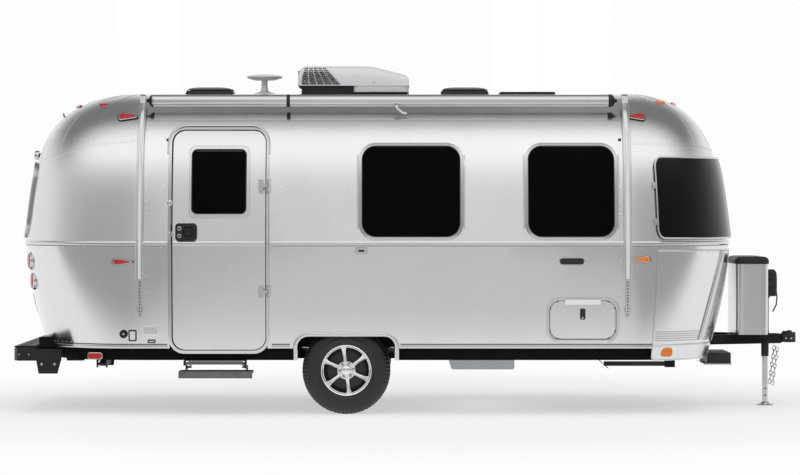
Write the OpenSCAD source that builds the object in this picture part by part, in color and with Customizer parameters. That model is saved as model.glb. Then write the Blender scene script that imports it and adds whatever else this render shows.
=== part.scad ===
// Travel caravan with a riveted aluminium body, on one axle.
// +X points to the hitch, -Y is the door side, +Z is up and z = 0 is the ground.

/* [Body shell] */
// Half of the body's width at the belt line
body_half = 1219; // [1180:1:1260]
// Height of the belt line above the ground
belt_z = 1398; // [1380:1:1420]
// Height of the roof's crown
crown_z = 2656; // [2600:1:2720]
// Height of the shell's lower edge
sill_z = 542; // [530:1:560]
// Where the straight sides end at the rear
rear_seam = -2190; // [-2230:1:-2170]
// Where the straight sides end at the front
front_seam = 1756; // [1740:1:1800]
// How far the rear end stands behind its seam
rear_reach = 1073; // [1040:1:1100]
// How far the front end stands ahead of its seam
front_reach = 932; // [900:1:960]
// Thickness of the walls and the roof
wall_t = 45; // [35:1:50]

/* [Windows and door] */
// Lower edge of the side windows
window_low = 1444; // [1430:1:1460]
// Upper edge of the side windows
window_top = 2195; // [2150:1:2200]
// Corner radius of the side windows
window_r = 120; // [60:1:140]
// Width of a window frame
frame_w = 32; // [20:1:36]
// Rear edge of the door leaf
door_rear = -1945; // [-1950:1:-1940]
// Front edge of the door leaf
door_front = -1189; // [-1194:1:-1186]
// Lower edge of the door leaf
door_low = 530; // [525:1:540]
// Upper edge of the door leaf
door_top = 2320; // [2300:1:2325]

/* [Running gear] */
// Radius of a tyre
tyre_r = 360; // [350:1:362]
// Width of a tyre
tyre_w = 220; // [200:1:222]
// Outer face of a tyre, from the middle of the caravan
tyre_face = 1105; // [1090:1:1108]
// Place of the axle along the caravan
axle_x = -533.5; // [-540:0.5:-526]

/* [Drawbar] */
// Front end of the coupler
nose_x = 3288; // [3270:1:3300]
// Bore of the coupler's ball socket
ball_bore = 60; // [50:1:60]
// Place of the jack along the caravan
jack_x = 3026; // [3020:1:3034]
// How far the jack's leg draws in
jack_stroke = 360; // [300:1:380]

/* [Hidden] */
kerb = -1;
street = 1;
front = 1;
rear = -1;
crown_h = crown_z - belt_z;
tuck_h = 872;
side_tuck = 60;
plan_power = 0.8;
fine = 48;

// A level is 0 at the belt, 1 at the crown, and -1 a tuck height below the belt.
sill_level = (sill_z - belt_z) / tuck_h;
dome_rings = 12;
rib_count = 24;

kerb_windows = [[-412, 402], [941, 1656]];
street_windows = [[-1812, -998], [-412, 402], [941, 1656]];
corner_window = [14, 70];
shield_span = [10.5, 73.5];
front_window = [78, 102];
wrap_low = 1437;
wrap_top = 2083;
rear_window_half = 470;
rear_window_low = 1462;
rear_window_top = 2035;

arch_rear = -942;
arch_front = -125;
arch_top = 649;
arch_r = 100;
well_inner = 860;
well_top = 775;
well_rear = -965;
well_front = -105;

floor_low = 616;
floor_top = 656;
rail_low = 531;
rail_y = 700;
rail_t = 50;
belly_low = 445;
belly_inset = -28;

frame_side = 27;
frame_lip = 5;
hinge_x = -1176;
hinge_y = -1236;
hinge_heights = [1005, 1870];
knuckle_half = 52;

hatch = [1127, 1657, 623, 927];
hatch_gap = 6;
hatch_axis_z = 940;
hatch_axis_y = -1214;

step_x = [-1895, -1295];
step_pivot_z = 424;
step_front_y = -1205;
step_rear_y = -1105;
step_arm = 215;
step_rest = 12;
step_pin_r = 6;
step_front_planes = [-1838, -1362];
step_rear_planes = [-1816, -1384];
plate_t = 10;

leg_len = 520;
leg_pivot_z = 408;
front_leg_x = 2100;
rear_leg_x = -2538;
front_leg_y = 960;
rear_leg_y = 980;

vent_rear_x = -1711;
vent_front_x = 453;
vent_half = 180;
vent_base_top = 2682;
vent_hinge_z = 2688;

bumper_rear = -3268;
bumper_half = 1000;
lid_hinge_x = -3100;
lid_hinge_z = 549;

roller_y = -860;
roller_z = 2570;
roller_r = 50;

door_window_x = [-1790, -1347];
door_window_z = [1638, 2161];
latch_x = [-1920, -1744];
latch_z = [1417, 1562];
handle_x = -1966;
handle_z = [1464, 1737];

lower_levels = spread(sill_level, 0, 8);
upper_levels = [for (i = [0:14]) rise_step(i / 2)];
roof_levels = [for (i = [14:24]) rise_step(i / 2)];
cap_angles = spread(0, 180, rib_count);
cap_low_levels = spread(sill_level, 0, 4);
dome_levels = [for (i = [0:dome_rings - 1]) rise_step(i)];
door_levels = concat(
    spread(level_of(498), 0, 9),
    [for (i = [1:14]) level_of(door_top + 28) * i / 14]
);
hatch_levels = spread(level_of(hatch[2] - 10), level_of(hatch[3] + 10), 6);
step_low_z = step_pivot_z - step_arm * sin(step_rest);
step_in = step_arm * cos(step_rest);

// ---- Shape of the body ----

// Levels that crowd together towards the crown
function rise_step(i) = 1 - pow(1 - i / dome_rings, 1.8);

function level_of(z) = z >= belt_z ? (z - belt_z) / crown_h : (z - belt_z) / tuck_h;

function level_z(l, off) = l >= 0 ? belt_z + (crown_h + off) * l : belt_z + tuck_h * l;

function shoulder(l, power) = pow(1 - pow(l, power), 1 / 2.4);

// Half width of the body at a level, off mm outside its skin
function side_at(l, off) = l >= 0
    ? (body_half + off) * (1 - 0.12 * l) * shoulder(l, 5)
    : body_half + off - side_tuck * pow(-l, 1.6);

// Reach of an end of the body beyond its seam
function reach_at(end, l, off) = end == rear
    ? (l >= 0 ? (rear_reach + off) * (1 - 0.14 * l) * shoulder(l, 5)
              : rear_reach + off - 184 * pow(-l, 1.6))
    : (l >= 0 ? (front_reach + off) * (1 - 0.17 * l) * shoulder(l, 4.4)
              : front_reach + off - 167 * pow(-l, 1.6));

function bend(v) = sign(v) * pow(abs(v), plan_power);

// A point of an end's skin: the angle runs from the street side, 0, to the door side, 180
function cap_point(end, l, a, off) = [
    (end == rear ? rear_seam : front_seam) + end * reach_at(end, l, off) * bend(sin(a)),
    side_at(l, off) * bend(cos(a)),
    level_z(l, off)
];

// Outline of the whole body at a level, seen from above
function plan_outline(l, off) = concat(
    [for (a = [0:7.5:180]) let (p = cap_point(front, l, a, off)) [p[0], p[1]]],
    [for (a = [180:-7.5:0]) let (p = cap_point(rear, l, a, off)) [p[0], p[1]]]
);

function spread(from, to, n) = [for (i = [0:n]) from + (to - from) * i / n];

// Two triangles of a four-sided patch
function quad(a, b, c, d) = [[a, b, c], [a, c, d]];

function turned(end, faces) = end == front ? faces : [for (f = faces) [f[2], f[1], f[0]]];

function join(lists) = [for (l = lists) each l];

// Faces between an outer and an inner grid of rows by cols points, without the top edge
function slab_faces(rows, cols) = let (k = rows * cols, e = cols - 1) concat(
    join([for (i = [0:rows - 2]) for (j = [0:cols - 2])
        let (p = i * cols + j) quad(p, p + 1, p + cols + 1, p + cols)]),
    join([for (i = [0:rows - 2]) for (j = [0:cols - 2])
        let (p = k + i * cols + j) quad(p + 1, p, p + cols, p + cols + 1)]),
    join([for (j = [0:cols - 2]) quad(j + 1, j, k + j, k + j + 1)]),
    join([for (i = [0:rows - 2]) let (p = i * cols) quad(p, p + cols, k + p + cols, k + p)]),
    join([for (i = [0:rows - 2]) let (p = i * cols + e) quad(p + cols, p, k + p, k + p + cols)])
);

function top_edge(rows, cols) = let (k = rows * cols, t = (rows - 1) * cols)
    join([for (j = [0:cols - 2]) quad(t + j, t + j + 1, k + t + j + 1, k + t + j)]);

function dome_top(rows, cols) = let (
    k = rows * cols, t = (rows - 1) * cols, a = 2 * k, b = 2 * k + 1, e = t + cols - 1
) concat(
    [for (j = [0:cols - 2]) [t + j, t + j + 1, a]],
    [for (j = [0:cols - 2]) [k + t + j + 1, k + t + j, b]],
    [[t, a, b], [t, b, k + t], [a, e, k + e], [a, k + e, b]]
);

// A curved slab that follows an end of the body between two offsets from its skin
module cap_slab(end, levels, angles, inner, outer) {
    grid = concat(
        [for (l = levels) for (a = angles) cap_point(end, l, a, outer)],
        [for (l = levels) for (a = angles) cap_point(end, l, a, inner)]
    );
    faces = concat(slab_faces(len(levels), len(angles)), top_edge(len(levels), len(angles)));
    polyhedron(points = grid, faces = turned(end, faces), convexity = 4);
}

// The same slab, closed at the crown
module cap_dome(end, levels, angles, inner, outer) {
    grid = concat(
        [for (l = levels) for (a = angles) cap_point(end, l, a, outer)],
        [for (l = levels) for (a = angles) cap_point(end, l, a, inner)],
        [cap_point(end, 1, 0, outer), cap_point(end, 1, 0, inner)]
    );
    faces = concat(slab_faces(len(levels), len(angles)), dome_top(len(levels), len(angles)));
    polyhedron(points = grid, faces = turned(end, faces), convexity = 4);
}

// A length of side wall between two levels and two offsets
module side_slab(side, x0, x1, levels, inner, outer) {
    n = len(levels) - 1;
    outline = concat(
        [for (l = levels) [side * side_at(l, outer), level_z(l, outer)]],
        [for (i = [n:-1:0]) [side * side_at(levels[i], inner), level_z(levels[i], inner)]]
    );
    translate([x0, 0, 0])
        rotate([90, 0, 90])
            linear_extrude(height = x1 - x0)
                polygon(outline);
}

// A rectangle with round corners
module round_rect(x0, x1, y0, y1, r) {
    translate([x0 + r, y0])
        square([x1 - x0 - 2 * r, y1 - y0]);
    translate([x0, y0 + r])
        square([x1 - x0, y1 - y0 - 2 * r]);
    for (x = [x0 + r, x1 - r], y = [y0 + r, y1 - r])
        translate([x, y])
            circle(r, $fn = fine);
}

// A block with a rounded outline in X and Z, from y0 to y1
module side_block(x0, x1, z0, z1, r, y0, y1) {
    translate([0, y1, 0])
        rotate([90, 0, 0])
            linear_extrude(height = y1 - y0)
                round_rect(x0, x1, z0, z1, r);
}

// A block with a rounded outline in Y and Z, from x0 to x1
module end_block(y0, y1, z0, z1, r, x0, x1) {
    translate([x0, 0, 0])
        rotate([90, 0, 90])
            linear_extrude(height = x1 - x0)
                round_rect(y0, y1, z0, z1, r);
}

module box(x0, x1, y0, y1, z0, z1) {
    translate([x0, y0, z0])
        cube([x1 - x0, y1 - y0, z1 - z0]);
}

// A round bar along X
module bar_x(x0, x1, y, z, r) {
    translate([x0, y, z])
        rotate([0, 90, 0])
            cylinder(h = x1 - x0, r = r, $fn = fine);
}

// A round bar along Y
module bar_y(x, y0, y1, z, r) {
    translate([x, y1, z])
        rotate([90, 0, 0])
            cylinder(h = y1 - y0, r = r, $fn = fine);
}

module bar_z(x, y, z0, z1, r) {
    translate([x, y, z0])
        cylinder(h = z1 - z0, r = r, $fn = fine);
}

module both_sides() {
    children();
    mirror([0, 1, 0])
        children();
}

// Everything on one side of the caravan, deep enough to cut its wall
module side_hole(side, x0, x1, z0, z1, r) {
    side_block(x0, x1, z0, z1, r, side == kerb ? -1400 : 600, side == kerb ? -600 : 1400);
}

// ---- Side walls, roof and ends ----

module arch_hole(side) {
    side_hole(side, arch_rear, arch_front, sill_z - 200, arch_top, arch_r);
}

module door_hole() {
    side_hole(kerb, door_rear - 10 - frame_side, door_front + frame_lip + 21,
              400, door_top + 28, 130);
}

module kerb_wall_lower() {
    color("silver")
        difference() {
            side_slab(kerb, rear_seam, front_seam, lower_levels, -wall_t, 0);
            arch_hole(kerb);
            door_hole();
            side_hole(kerb, hatch[0] - hatch_gap, hatch[1] + hatch_gap,
                      hatch[2] - hatch_gap, hatch[3] + hatch_gap, 91);
        }
}

module kerb_wall_upper() {
    color("silver")
        difference() {
            side_slab(kerb, rear_seam, front_seam, upper_levels, -wall_t, 0);
            door_hole();
            for (w = kerb_windows)
                side_hole(kerb, w[0], w[1], window_low, window_top, window_r);
        }
}

module street_wall_lower() {
    color("silver")
        difference() {
            side_slab(street, rear_seam, front_seam, lower_levels, -wall_t, 0);
            arch_hole(street);
        }
}

module street_wall_upper() {
    color("silver")
        difference() {
            side_slab(street, rear_seam, front_seam, upper_levels, -wall_t, 0);
            for (w = street_windows)
                side_hole(street, w[0], w[1], window_low, window_top, window_r);
        }
}

module roof_shell() {
    n = len(roof_levels) - 1;
    outline = concat(
        [for (l = roof_levels) [side_at(l, 0), level_z(l, 0)]],
        [for (i = [n - 1:-1:0]) [-side_at(roof_levels[i], 0), level_z(roof_levels[i], 0)]],
        [for (l = roof_levels) [-side_at(l, -wall_t), level_z(l, -wall_t)]],
        [for (i = [n - 1:-1:0]) [side_at(roof_levels[i], -wall_t), level_z(roof_levels[i], -wall_t)]]
    );
    color("silver")
        difference() {
            translate([rear_seam, 0, 0])
                rotate([90, 0, 90])
                    linear_extrude(height = front_seam - rear_seam)
                        polygon(outline);
            for (x = [vent_rear_x, vent_front_x])
                box(x - vent_half, x + vent_half, -vent_half, vent_half, 2500, 2700);
        }
}

// Everything under the roof's skin, for what stands on the roof
module under_roof() {
    n = len(roof_levels) - 1;
    translate([rear_seam, 0, 0])
        rotate([90, 0, 90])
            linear_extrude(height = front_seam - rear_seam)
                polygon(concat(
                    [for (l = roof_levels) [side_at(l, 0.5), level_z(l, 0.5)]],
                    [for (i = [n - 1:-1:0]) [-side_at(roof_levels[i], 0.5), level_z(roof_levels[i], 0.5)]]
                ));
}

module rear_cap_lower() {
    color("silver")
        difference() {
            cap_slab(rear, cap_low_levels, cap_angles, -wall_t, 0);
            both_sides()
                box(-3200, -2800, rail_y - 32, rail_y + 32, sill_z - 50, floor_low + 6);
        }
}

module rear_cap_upper() {
    color("silver")
        difference() {
            cap_dome(rear, dome_levels, cap_angles, -wall_t, 0);
            end_block(-rear_window_half, rear_window_half, rear_window_low, rear_window_top,
                      window_r, -3500, -2900);
        }
}

module front_cap_lower() {
    color("silver")
        difference() {
            cap_slab(front, cap_low_levels, cap_angles, -wall_t, 0);
            box(2200, 2800, -460, 460, sill_z - 50, floor_low + 6);
        }
}

// A wrap-round opening in the front end, or its pane, between two angles from the door side
module front_opening(span, inner, outer, gap = 0) {
    cap_slab(front, spread(level_of(wrap_low + gap), level_of(wrap_top - gap), 6),
             spread(180 - span[1] + gap / 10, 180 - span[0] - gap / 10, 8), inner, outer);
}

module front_cap_upper() {
    color("silver")
        difference() {
            cap_dome(front, dome_levels, cap_angles, -wall_t, 0);
            both_sides()
                front_opening(corner_window, -wall_t - 15, 15);
            front_opening(front_window, -wall_t - 15, 15);
        }
}

// ---- Floor and underbody ----

module well_space() {
    for (side = [kerb, street])
        box(well_rear, well_front, side == kerb ? -1300 : well_inner - 12,
            side == kerb ? 12 - well_inner : 1300, 300, well_top + 12);
}

module floor_panel() {
    color("tan")
        difference() {
            translate([0, 0, floor_low])
                linear_extrude(height = floor_top - floor_low)
                    polygon(plan_outline(level_of(floor_low), -wall_t - 5));
            well_space();
        }
}

// The belly's whole space, grown sideways
module belly_space(grow) {
    translate([0, 0, belly_low])
        linear_extrude(height = rail_low - 1 - belly_low)
            polygon(plan_outline(level_of(belly_low), belly_inset + grow));
}

module belly_pan() {
    color("dimgray")
        difference() {
            belly_space(0);
            translate([0, 0, belly_low + 6])
                linear_extrude(height = 200)
                    polygon(plan_outline(level_of(belly_low), belly_inset - 8));
            well_space();
            box(-470, -290, -900, 900, 400, 600);
            box(-580, -440, -900, 900, 400, 600);
        }
}

module chassis_rails() {
    color("#202224")
        both_sides()
            box(-3089, 1500, rail_y - rail_t / 2, rail_y + rail_t / 2, rail_low, floor_low - 1);
}

// Cross members between the rails, outriggers beside them and plates across the drawbar
module cross_members() {
    inner = rail_y - rail_t / 2;
    outer = rail_y + rail_t / 2;
    color("#202224") {
        for (x = [-2880, -2000, -1180, -330, 700, 1400])
            box(x, x + 50, -inner, inner, rail_low + 4, floor_low - 5);
        both_sides()
            for (x = [-2400, -1300, 300, 1300])
                box(x, x + 50, outer, 1060, rail_low + 5, floor_low - 6);
        box(3142, 3162, -46, 46, rail_low + 4, floor_low - 4);
    }
}

// The two arms that run in from the rails to the coupler
module drawbar() {
    reach = 1625;
    run_in = 655;
    color("#202224") {
        both_sides()
            translate([1515, rail_y, rail_low + 2])
                rotate([0, 0, -atan(run_in / reach)])
                    translate([0, -30, 0])
                        cube([norm([reach, run_in]), 60, floor_low - 5 - rail_low]);
        box(2716, 2776, -190, 190, rail_low + 10, floor_low - 8);
    }
}

module axle() {
    color("#2a2c2e")
        both_sides() {
            bar_y(axle_x + 150, -835, 0.2, 400, 38);
            box(axle_x + 130, axle_x + 190, -780, -700, 400, rail_low - 1);
            translate([0, -815, 0])
                rotate([90, 0, 0])
                    linear_extrude(height = 26)
                        polygon([[axle_x - 40, tyre_r - 34], [axle_x + 190, 358], [axle_x + 190, 440],
                                 [axle_x - 40, tyre_r + 38]]);
            bar_y(axle_x, -900, -835, tyre_r, 34);
            bar_y(axle_x, -893, -885, tyre_r, 148);
            bar_y(axle_x, -1030, -895, tyre_r, 20);
        }
}

module wheel_wells() {
    color("#303234")
        both_sides()
            difference() {
                box(well_rear, well_front, -1111, -well_inner, floor_low - 70, well_top);
                box(well_rear + 10, well_front - 10, -1200, -well_inner - 10, 300, well_top - 10);
            }
}

// ---- Wheels ----

// A wheel part on the door side, turned about its own axle line
module wheel_turn(y) {
    translate([axle_x, y, tyre_r])
        rotate([90, 0, 0])
            rotate_extrude($fn = 96)
                children();
}

module tyre() {
    color("#161616")
        wheel_turn(-tyre_face + tyre_w)
            polygon([[196, 12], [212, 4], [262, 0], [320, 8], [348, 26], [tyre_r, 46],
                     [tyre_r, tyre_w - 46], [348, tyre_w - 26], [320, tyre_w - 8],
                     [262, tyre_w], [212, tyre_w - 4], [196, tyre_w - 12]]);
}

module rim() {
    color("lightgray") {
        wheel_turn(-tyre_face + tyre_w)
            polygon([[182, 4], [206, 0], [206, 3], [195.5, 12], [195.5, tyre_w - 12],
                     [206, tyre_w - 3], [206, tyre_w], [182, tyre_w - 4]]);
        difference() {
            wheel_turn(-1000)
                polygon([[20.6, 0], [150, 0], [150, 20], [184, 40], [184, 60], [60, 70],
                         [46, 92], [20.6, 92]]);
            for (i = [0:5])
                translate([axle_x, 0, tyre_r])
                    rotate([0, -(i * 60 + 8), 0])
                        translate([128, -900, 0])
                            rotate([90, 0, 0])
                                cylinder(h = 200, r = 30, $fn = fine);
        }
        difference() {
            bar_y(axle_x, -1000, -905, tyre_r, 140);
            bar_y(axle_x, -1010, -890, tyre_r, 20.6);
        }
    }
}

module right_tyre() {
    tyre();
}

module right_rim() {
    rim();
}

module left_tyre() {
    mirror([0, 1, 0])
        tyre();
}

module left_rim() {
    mirror([0, 1, 0])
        rim();
}

// ---- Windows and guards ----

// The ring of a window frame, or its pane, on a side wall
module side_ring(side, w, grow, inner, outer) {
    intersection() {
        side_slab(side, w[0] - 60, w[1] + 60,
                  spread(level_of(window_low - 60), level_of(window_top + 60), 16), inner, outer);
        side_hole(side, w[0] - grow, w[1] + grow, window_low - grow, window_top + grow,
                  window_r + grow);
    }
}

module side_window_frame(side, w) {
    difference() {
        side_ring(side, w, frame_w, 3, 16);
        side_hole(side, w[0], w[1], window_low, window_top, window_r);
    }
}

module window_frames() {
    color("gainsboro") {
        for (w = kerb_windows)
            side_window_frame(kerb, w);
        for (w = street_windows)
            side_window_frame(street, w);
        difference() {
            intersection() {
                cap_slab(rear, spread(level_of(rear_window_low - 50), level_of(rear_window_top + 50), 6),
                         spread(62, 118, 14), 2, 30);
                end_block(-rear_window_half - frame_w, rear_window_half + frame_w,
                          rear_window_low - frame_w, rear_window_top + frame_w,
                          window_r + frame_w, -3500, -2900);
            }
            end_block(-rear_window_half, rear_window_half, rear_window_low, rear_window_top,
                      window_r, -3500, -2900);
        }
    }
}

module window_panes() {
    color("#101214") {
        for (w = kerb_windows)
            side_ring(kerb, w, 0, -14, 6);
        for (w = street_windows)
            side_ring(street, w, 0, -14, 6);
        intersection() {
            cap_slab(rear, spread(level_of(rear_window_low - 50), level_of(rear_window_top + 50), 6),
                     spread(62, 118, 14), -12, 20);
            end_block(-rear_window_half, rear_window_half, rear_window_low, rear_window_top,
                      window_r, -3500, -2900);
        }
        both_sides()
            front_opening(corner_window, -22, -6, 3);
        front_opening(front_window, -22, 8, 3);
    }
}

module stone_guards() {
    color("gainsboro")
        both_sides() {
            cap_slab(front, spread(level_of(wrap_low - 18), level_of(wrap_top + 18), 6),
                     spread(180 - shield_span[1], 180 - shield_span[0], 8), 26, 34);
            cap_slab(front, spread(level_of(566), level_of(1338), 5),
                     spread(180 - shield_span[1], 180 - shield_span[0], 8), 6, 14);
        }
}

// ---- Door ----

// A block through the door side with the door's outline, grown or shrunk
module door_block(rear_grow, front_grow, low_grow, top_grow, r) {
    side_hole(kerb, door_rear - rear_grow, door_front + front_grow,
              door_low - low_grow, door_top + top_grow, r);
}

module door_frame() {
    color("gainsboro") {
        difference() {
            intersection() {
                side_slab(kerb, door_rear - 10 - frame_side, door_front + frame_lip + 21,
                          door_levels, -wall_t, 4);
                side_hole(kerb, door_rear - 10 - frame_side, door_front + frame_lip + 21,
                          498 - 300, door_top + 28, 130);
            }
            door_block(10, frame_lip, frame_lip, frame_lip, 104);
            belly_space(0.5);
        }
        difference() {
            intersection() {
                side_slab(kerb, door_rear - 12, door_front + frame_lip + 2, door_levels, -wall_t, -13);
                door_block(12, 7, 30, 7, 100);
            }
            door_block(-20, -8, -16, -16, 80);
            belly_space(0.5);
        }
        for (z = hinge_heights)
            hinge_half(z, true);
    }
}

// One half of a hinge: the fixed half has the outer knuckles
module hinge_half(z, fixed) {
    edge = -side_at(level_of(z), 0);
    if (fixed) {
        for (s = [-1, 1])
            translate([0, 0, z + s * knuckle_half * 0.66])
                bar_z(hinge_x, hinge_y, -knuckle_half * 0.3, knuckle_half * 0.3, 9);
        for (s = [-1, 1])
            box(hinge_x, hinge_x + 11, hinge_y, edge + 4, z + s * knuckle_half * 0.66 - 15,
                z + s * knuckle_half * 0.66 + 15);
    } else {
        bar_z(hinge_x, hinge_y, z - knuckle_half * 0.33, z + knuckle_half * 0.33, 9);
        box(hinge_x - 70, hinge_x, hinge_y - 2, hinge_y + 6,
            z - knuckle_half * 0.33, z + knuckle_half * 0.33);
        box(hinge_x - 70, hinge_x - 30, hinge_y, edge + 8, z - knuckle_half * 0.9, z + knuckle_half * 0.9);
    }
}

module entry_door() {
    color("silver")
        difference() {
            union() {
                intersection() {
                    side_slab(kerb, door_rear, door_front, door_levels, -8, 0);
                    door_block(0, 0, 0, 0, 100);
                }
                intersection() {
                    side_slab(kerb, door_rear, door_front, door_levels, -wall_t, -7.9);
                    door_block(-38, -16, -24, -24, 70);
                }
                for (z = hinge_heights)
                    hinge_half(z, false);
            }
            side_hole(kerb, door_window_x[0], door_window_x[1], door_window_z[0], door_window_z[1], 45);
        }
}

module door_window() {
    color("#101214")
        intersection() {
            side_slab(kerb, door_window_x[0], door_window_x[1], door_levels, -20, 5);
            side_hole(kerb, door_window_x[0], door_window_x[1], door_window_z[0], door_window_z[1], 45);
        }
}

module door_latch() {
    color("#18191a")
        difference() {
            side_block(latch_x[0], latch_x[1], latch_z[0], latch_z[1], 30,
                       -side_at(level_of(1490), 27), -1190);
            side_slab(kerb, latch_x[0] - 10, latch_x[1] + 10, door_levels, -80, 0.3);
        }
}

module grab_handle() {
    edge = -side_at(level_of(1600), 0);
    color("gainsboro")
        difference() {
            union() {
                bar_z(handle_x, edge - 52, handle_z[0], handle_z[1], 10);
                for (z = handle_z)
                    bar_y(handle_x, edge - 52, edge + 20, z + (z < 1600 ? 10 : -10), 9);
            }
            side_slab(kerb, handle_x - 30, handle_x + 30, door_levels, -80, 4.3);
        }
}

// ---- Storage hatch ----

module storage_hatch() {
    color("silver") {
        intersection() {
            side_slab(kerb, hatch[0], hatch[1], hatch_levels, -wall_t + 5, 4);
            side_hole(kerb, hatch[0], hatch[1], hatch[2], hatch[3], 85);
        }
        bar_x(hatch[0] + 120, hatch[1] - 120, hatch_axis_y, hatch_axis_z, 6);
        box(hatch[0] + 120, hatch[1] - 120, hatch_axis_y - 3, hatch_axis_y + 3,
            hatch[3] - 40, hatch_axis_z);
        box(hatch[0] + 120, hatch[1] - 120, hatch_axis_y, hatch_axis_y + 20,
            hatch[3] - 40, hatch[3] - 10);
    }
}

// ---- Awning ----

module awning_roller() {
    color("whitesmoke") {
        bar_x(-2136, 1647, roller_y, roller_z, roller_r);
        bar_x(-2176, 1717, roller_y, roller_z, 14);
    }
}

module awning_arm(x0, x1) {
    top = level_of(2500);
    side_slab(kerb, x0, x1, concat(spread(level_of(1109), 0, 3), spread(0.02, top, 18)), 6, 34);
    side_slab(kerb, x0 + 16, x1 - 16, spread(level_of(793), level_of(1109), 3), 6, 26);
    for (z = [900, 1500, 2150])
        side_slab(kerb, x0 + 18, x1 - 18, spread(level_of(z), level_of(z + 40), 1), 0.5, 8);
    translate([(x0 + x1) / 2, 0, 0])
        rotate([90, 0, 90])
            linear_extrude(height = 12, center = true)
                polygon([[-side_at(level_of(2440), 20), 2440], [-side_at(level_of(2500), 20), 2500],
                         [roller_y + 34, roller_z + 16], [roller_y - 34, roller_z - 6]]);
}

module awning_arms() {
    color("whitesmoke")
        difference() {
            union() {
                awning_arm(-2240, -2181);
                awning_arm(1722, 1788);
            }
            bar_x(-2250, 1800, roller_y, roller_z, 16);
        }
}

// ---- Roof ----

module air_conditioner() {
    color("whitesmoke")
        intersection() {
            translate([0, 345, 0])
                rotate([90, 0, 0])
                    linear_extrude(height = 690)
                        polygon([[-957, 2716], [-950, 2790], [-925, 2840], [-880, 2876], [-810, 2890],
                                 [-420, 2890], [-330, 2884], [-240, 2862], [-100, 2800], [-40, 2766],
                                 [-20, 2740], [-17, 2716]]);
            translate([-1000, 0, 0])
                rotate([90, 0, 90])
                    linear_extrude(height = 1100)
                        polygon([[-345, 2716], [-338, 2800], [-310, 2856], [-250, 2886], [-150, 2895],
                                 [150, 2895], [250, 2886], [310, 2856], [338, 2800], [345, 2716]]);
        }
    color("#1c1d1e")
        difference() {
            box(-930, -60, -325, 325, crown_z - 34, 2716);
            under_roof();
        }
}

module dome_antenna() {
    color("whitesmoke")
        difference() {
            union() {
                bar_z(-1252, 0, 2774, 2828, 154);
                bar_z(-1252, 0, crown_z - 4, 2774, 34);
                bar_z(-1252, 0, crown_z - 4, crown_z + 12, 90);
            }
            under_roof();
        }
}

module vent_base(x) {
    difference() {
        box(x - vent_half - 22, x + vent_half + 22, -vent_half - 22, vent_half + 22,
            crown_z - 12, vent_base_top);
        box(x - vent_half + 10, x + vent_half - 10, -vent_half + 10, vent_half - 10, 2500, 2700);
        under_roof();
    }
}

module roof_vents() {
    color("whitesmoke") {
        vent_base(vent_rear_x);
        vent_base(vent_front_x);
        difference() {
            box(756, 1213, -200, 200, crown_z - 8, 2671);
            under_roof();
        }
    }
}

// A smoked lid, hinged along its front edge
module vent_lid(x) {
    color("#3a3c3e") {
        difference() {
            union() {
                box(x - vent_half - 6, x + vent_half + 6, -vent_half - 6, vent_half + 6,
                    vent_hinge_z, vent_hinge_z + 24);
                box(x - vent_half + 14, x + vent_half - 14, -vent_half + 14, vent_half - 14,
                    vent_hinge_z + 24, vent_hinge_z + 30);
            }
            box(x - vent_half + 2, x + vent_half - 2, -vent_half + 2, vent_half - 2,
                vent_hinge_z - 1, vent_hinge_z + 18);
        }
        box(x + vent_half + 2, x + vent_half + 12, -120, 120, vent_hinge_z + 2, vent_hinge_z + 6);
        bar_y(x + vent_half + 12, -120, 120, vent_hinge_z + 4, 4);
    }
}

module rear_vent_lid() {
    vent_lid(vent_rear_x);
}

module front_vent_lid() {
    vent_lid(vent_front_x);
}

// ---- Lamps ----

// A teardrop lamp on an end's skin, with its round end at x and its point dx away
module drop_lamp(end, side, x, dx, z, levels) {
    low_angle = side == kerb ? 120 : 0;
    intersection() {
        cap_slab(end, levels, spread(low_angle, low_angle + 60, 8), 0.5, 22);
        translate([0, side == kerb ? -900 : 1300, 0])
            rotate([90, 0, 0])
                linear_extrude(height = 400) {
                    translate([x, z])
                        circle(33, $fn = fine);
                    polygon([[x, z - 33], [x + dx, z - 8], [x + dx, z + 8], [x, z + 33]]);
                }
    }
}

module lamps() {
    high_levels = [for (i = [6:9]) rise_step(i)];
    low_levels = [cap_low_levels[3], cap_low_levels[4]];
    color("firebrick")
        for (side = [kerb, street]) {
            drop_lamp(rear, side, -2385, 110, 2430, high_levels);
            drop_lamp(rear, side, -2400, 115, 1248, low_levels);
        }
    color("orange")
        for (side = [kerb, street]) {
            drop_lamp(front, side, 1882, -80, 2430, high_levels);
            drop_lamp(front, side, 1900, -100, 1268, low_levels);
        }
}

// ---- Rear bumper ----

module rear_bumper() {
    color("silver") {
        difference() {
            box(bumper_rear, lid_hinge_x + 10, -bumper_half, bumper_half, 433, 538);
            box(bumper_rear + 14, lid_hinge_x - 10, -bumper_half + 30, bumper_half - 30, 447, 600);
        }
        both_sides() {
            box(lid_hinge_x + 11, -2872, bumper_half - 12, bumper_half, 434, 537);
            translate([0, bumper_half - 2, 0])
                rotate([90, 0, 0])
                    linear_extrude(height = 8)
                        polygon([[-3055, 440], [-2850, 440], [-2850, 372], [-2905, 325],
                                 [-3000, 325], [-3055, 372]]);
        }
    }
}

module bumper_lid() {
    color("gainsboro") {
        box(bumper_rear + 4, lid_hinge_x - 2, -bumper_half + 20, bumper_half - 20, 543, lid_hinge_z);
        bar_y(lid_hinge_x, -bumper_half + 80, bumper_half - 80, lid_hinge_z, 5);
    }
}

// ---- Tanks, gas, jack, coupler ----

module belly_tank() {
    color("gray")
        side_block(330, 860, 339, belly_low - 0.5, 20, -600, 600);
}

module gas_cover() {
    color("silver")
        translate([0, 0, 617])
            linear_extrude(height = 1213 - 617)
                difference() {
                    gas_plan(0);
                    gas_plan(-6);
                }
}

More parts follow.
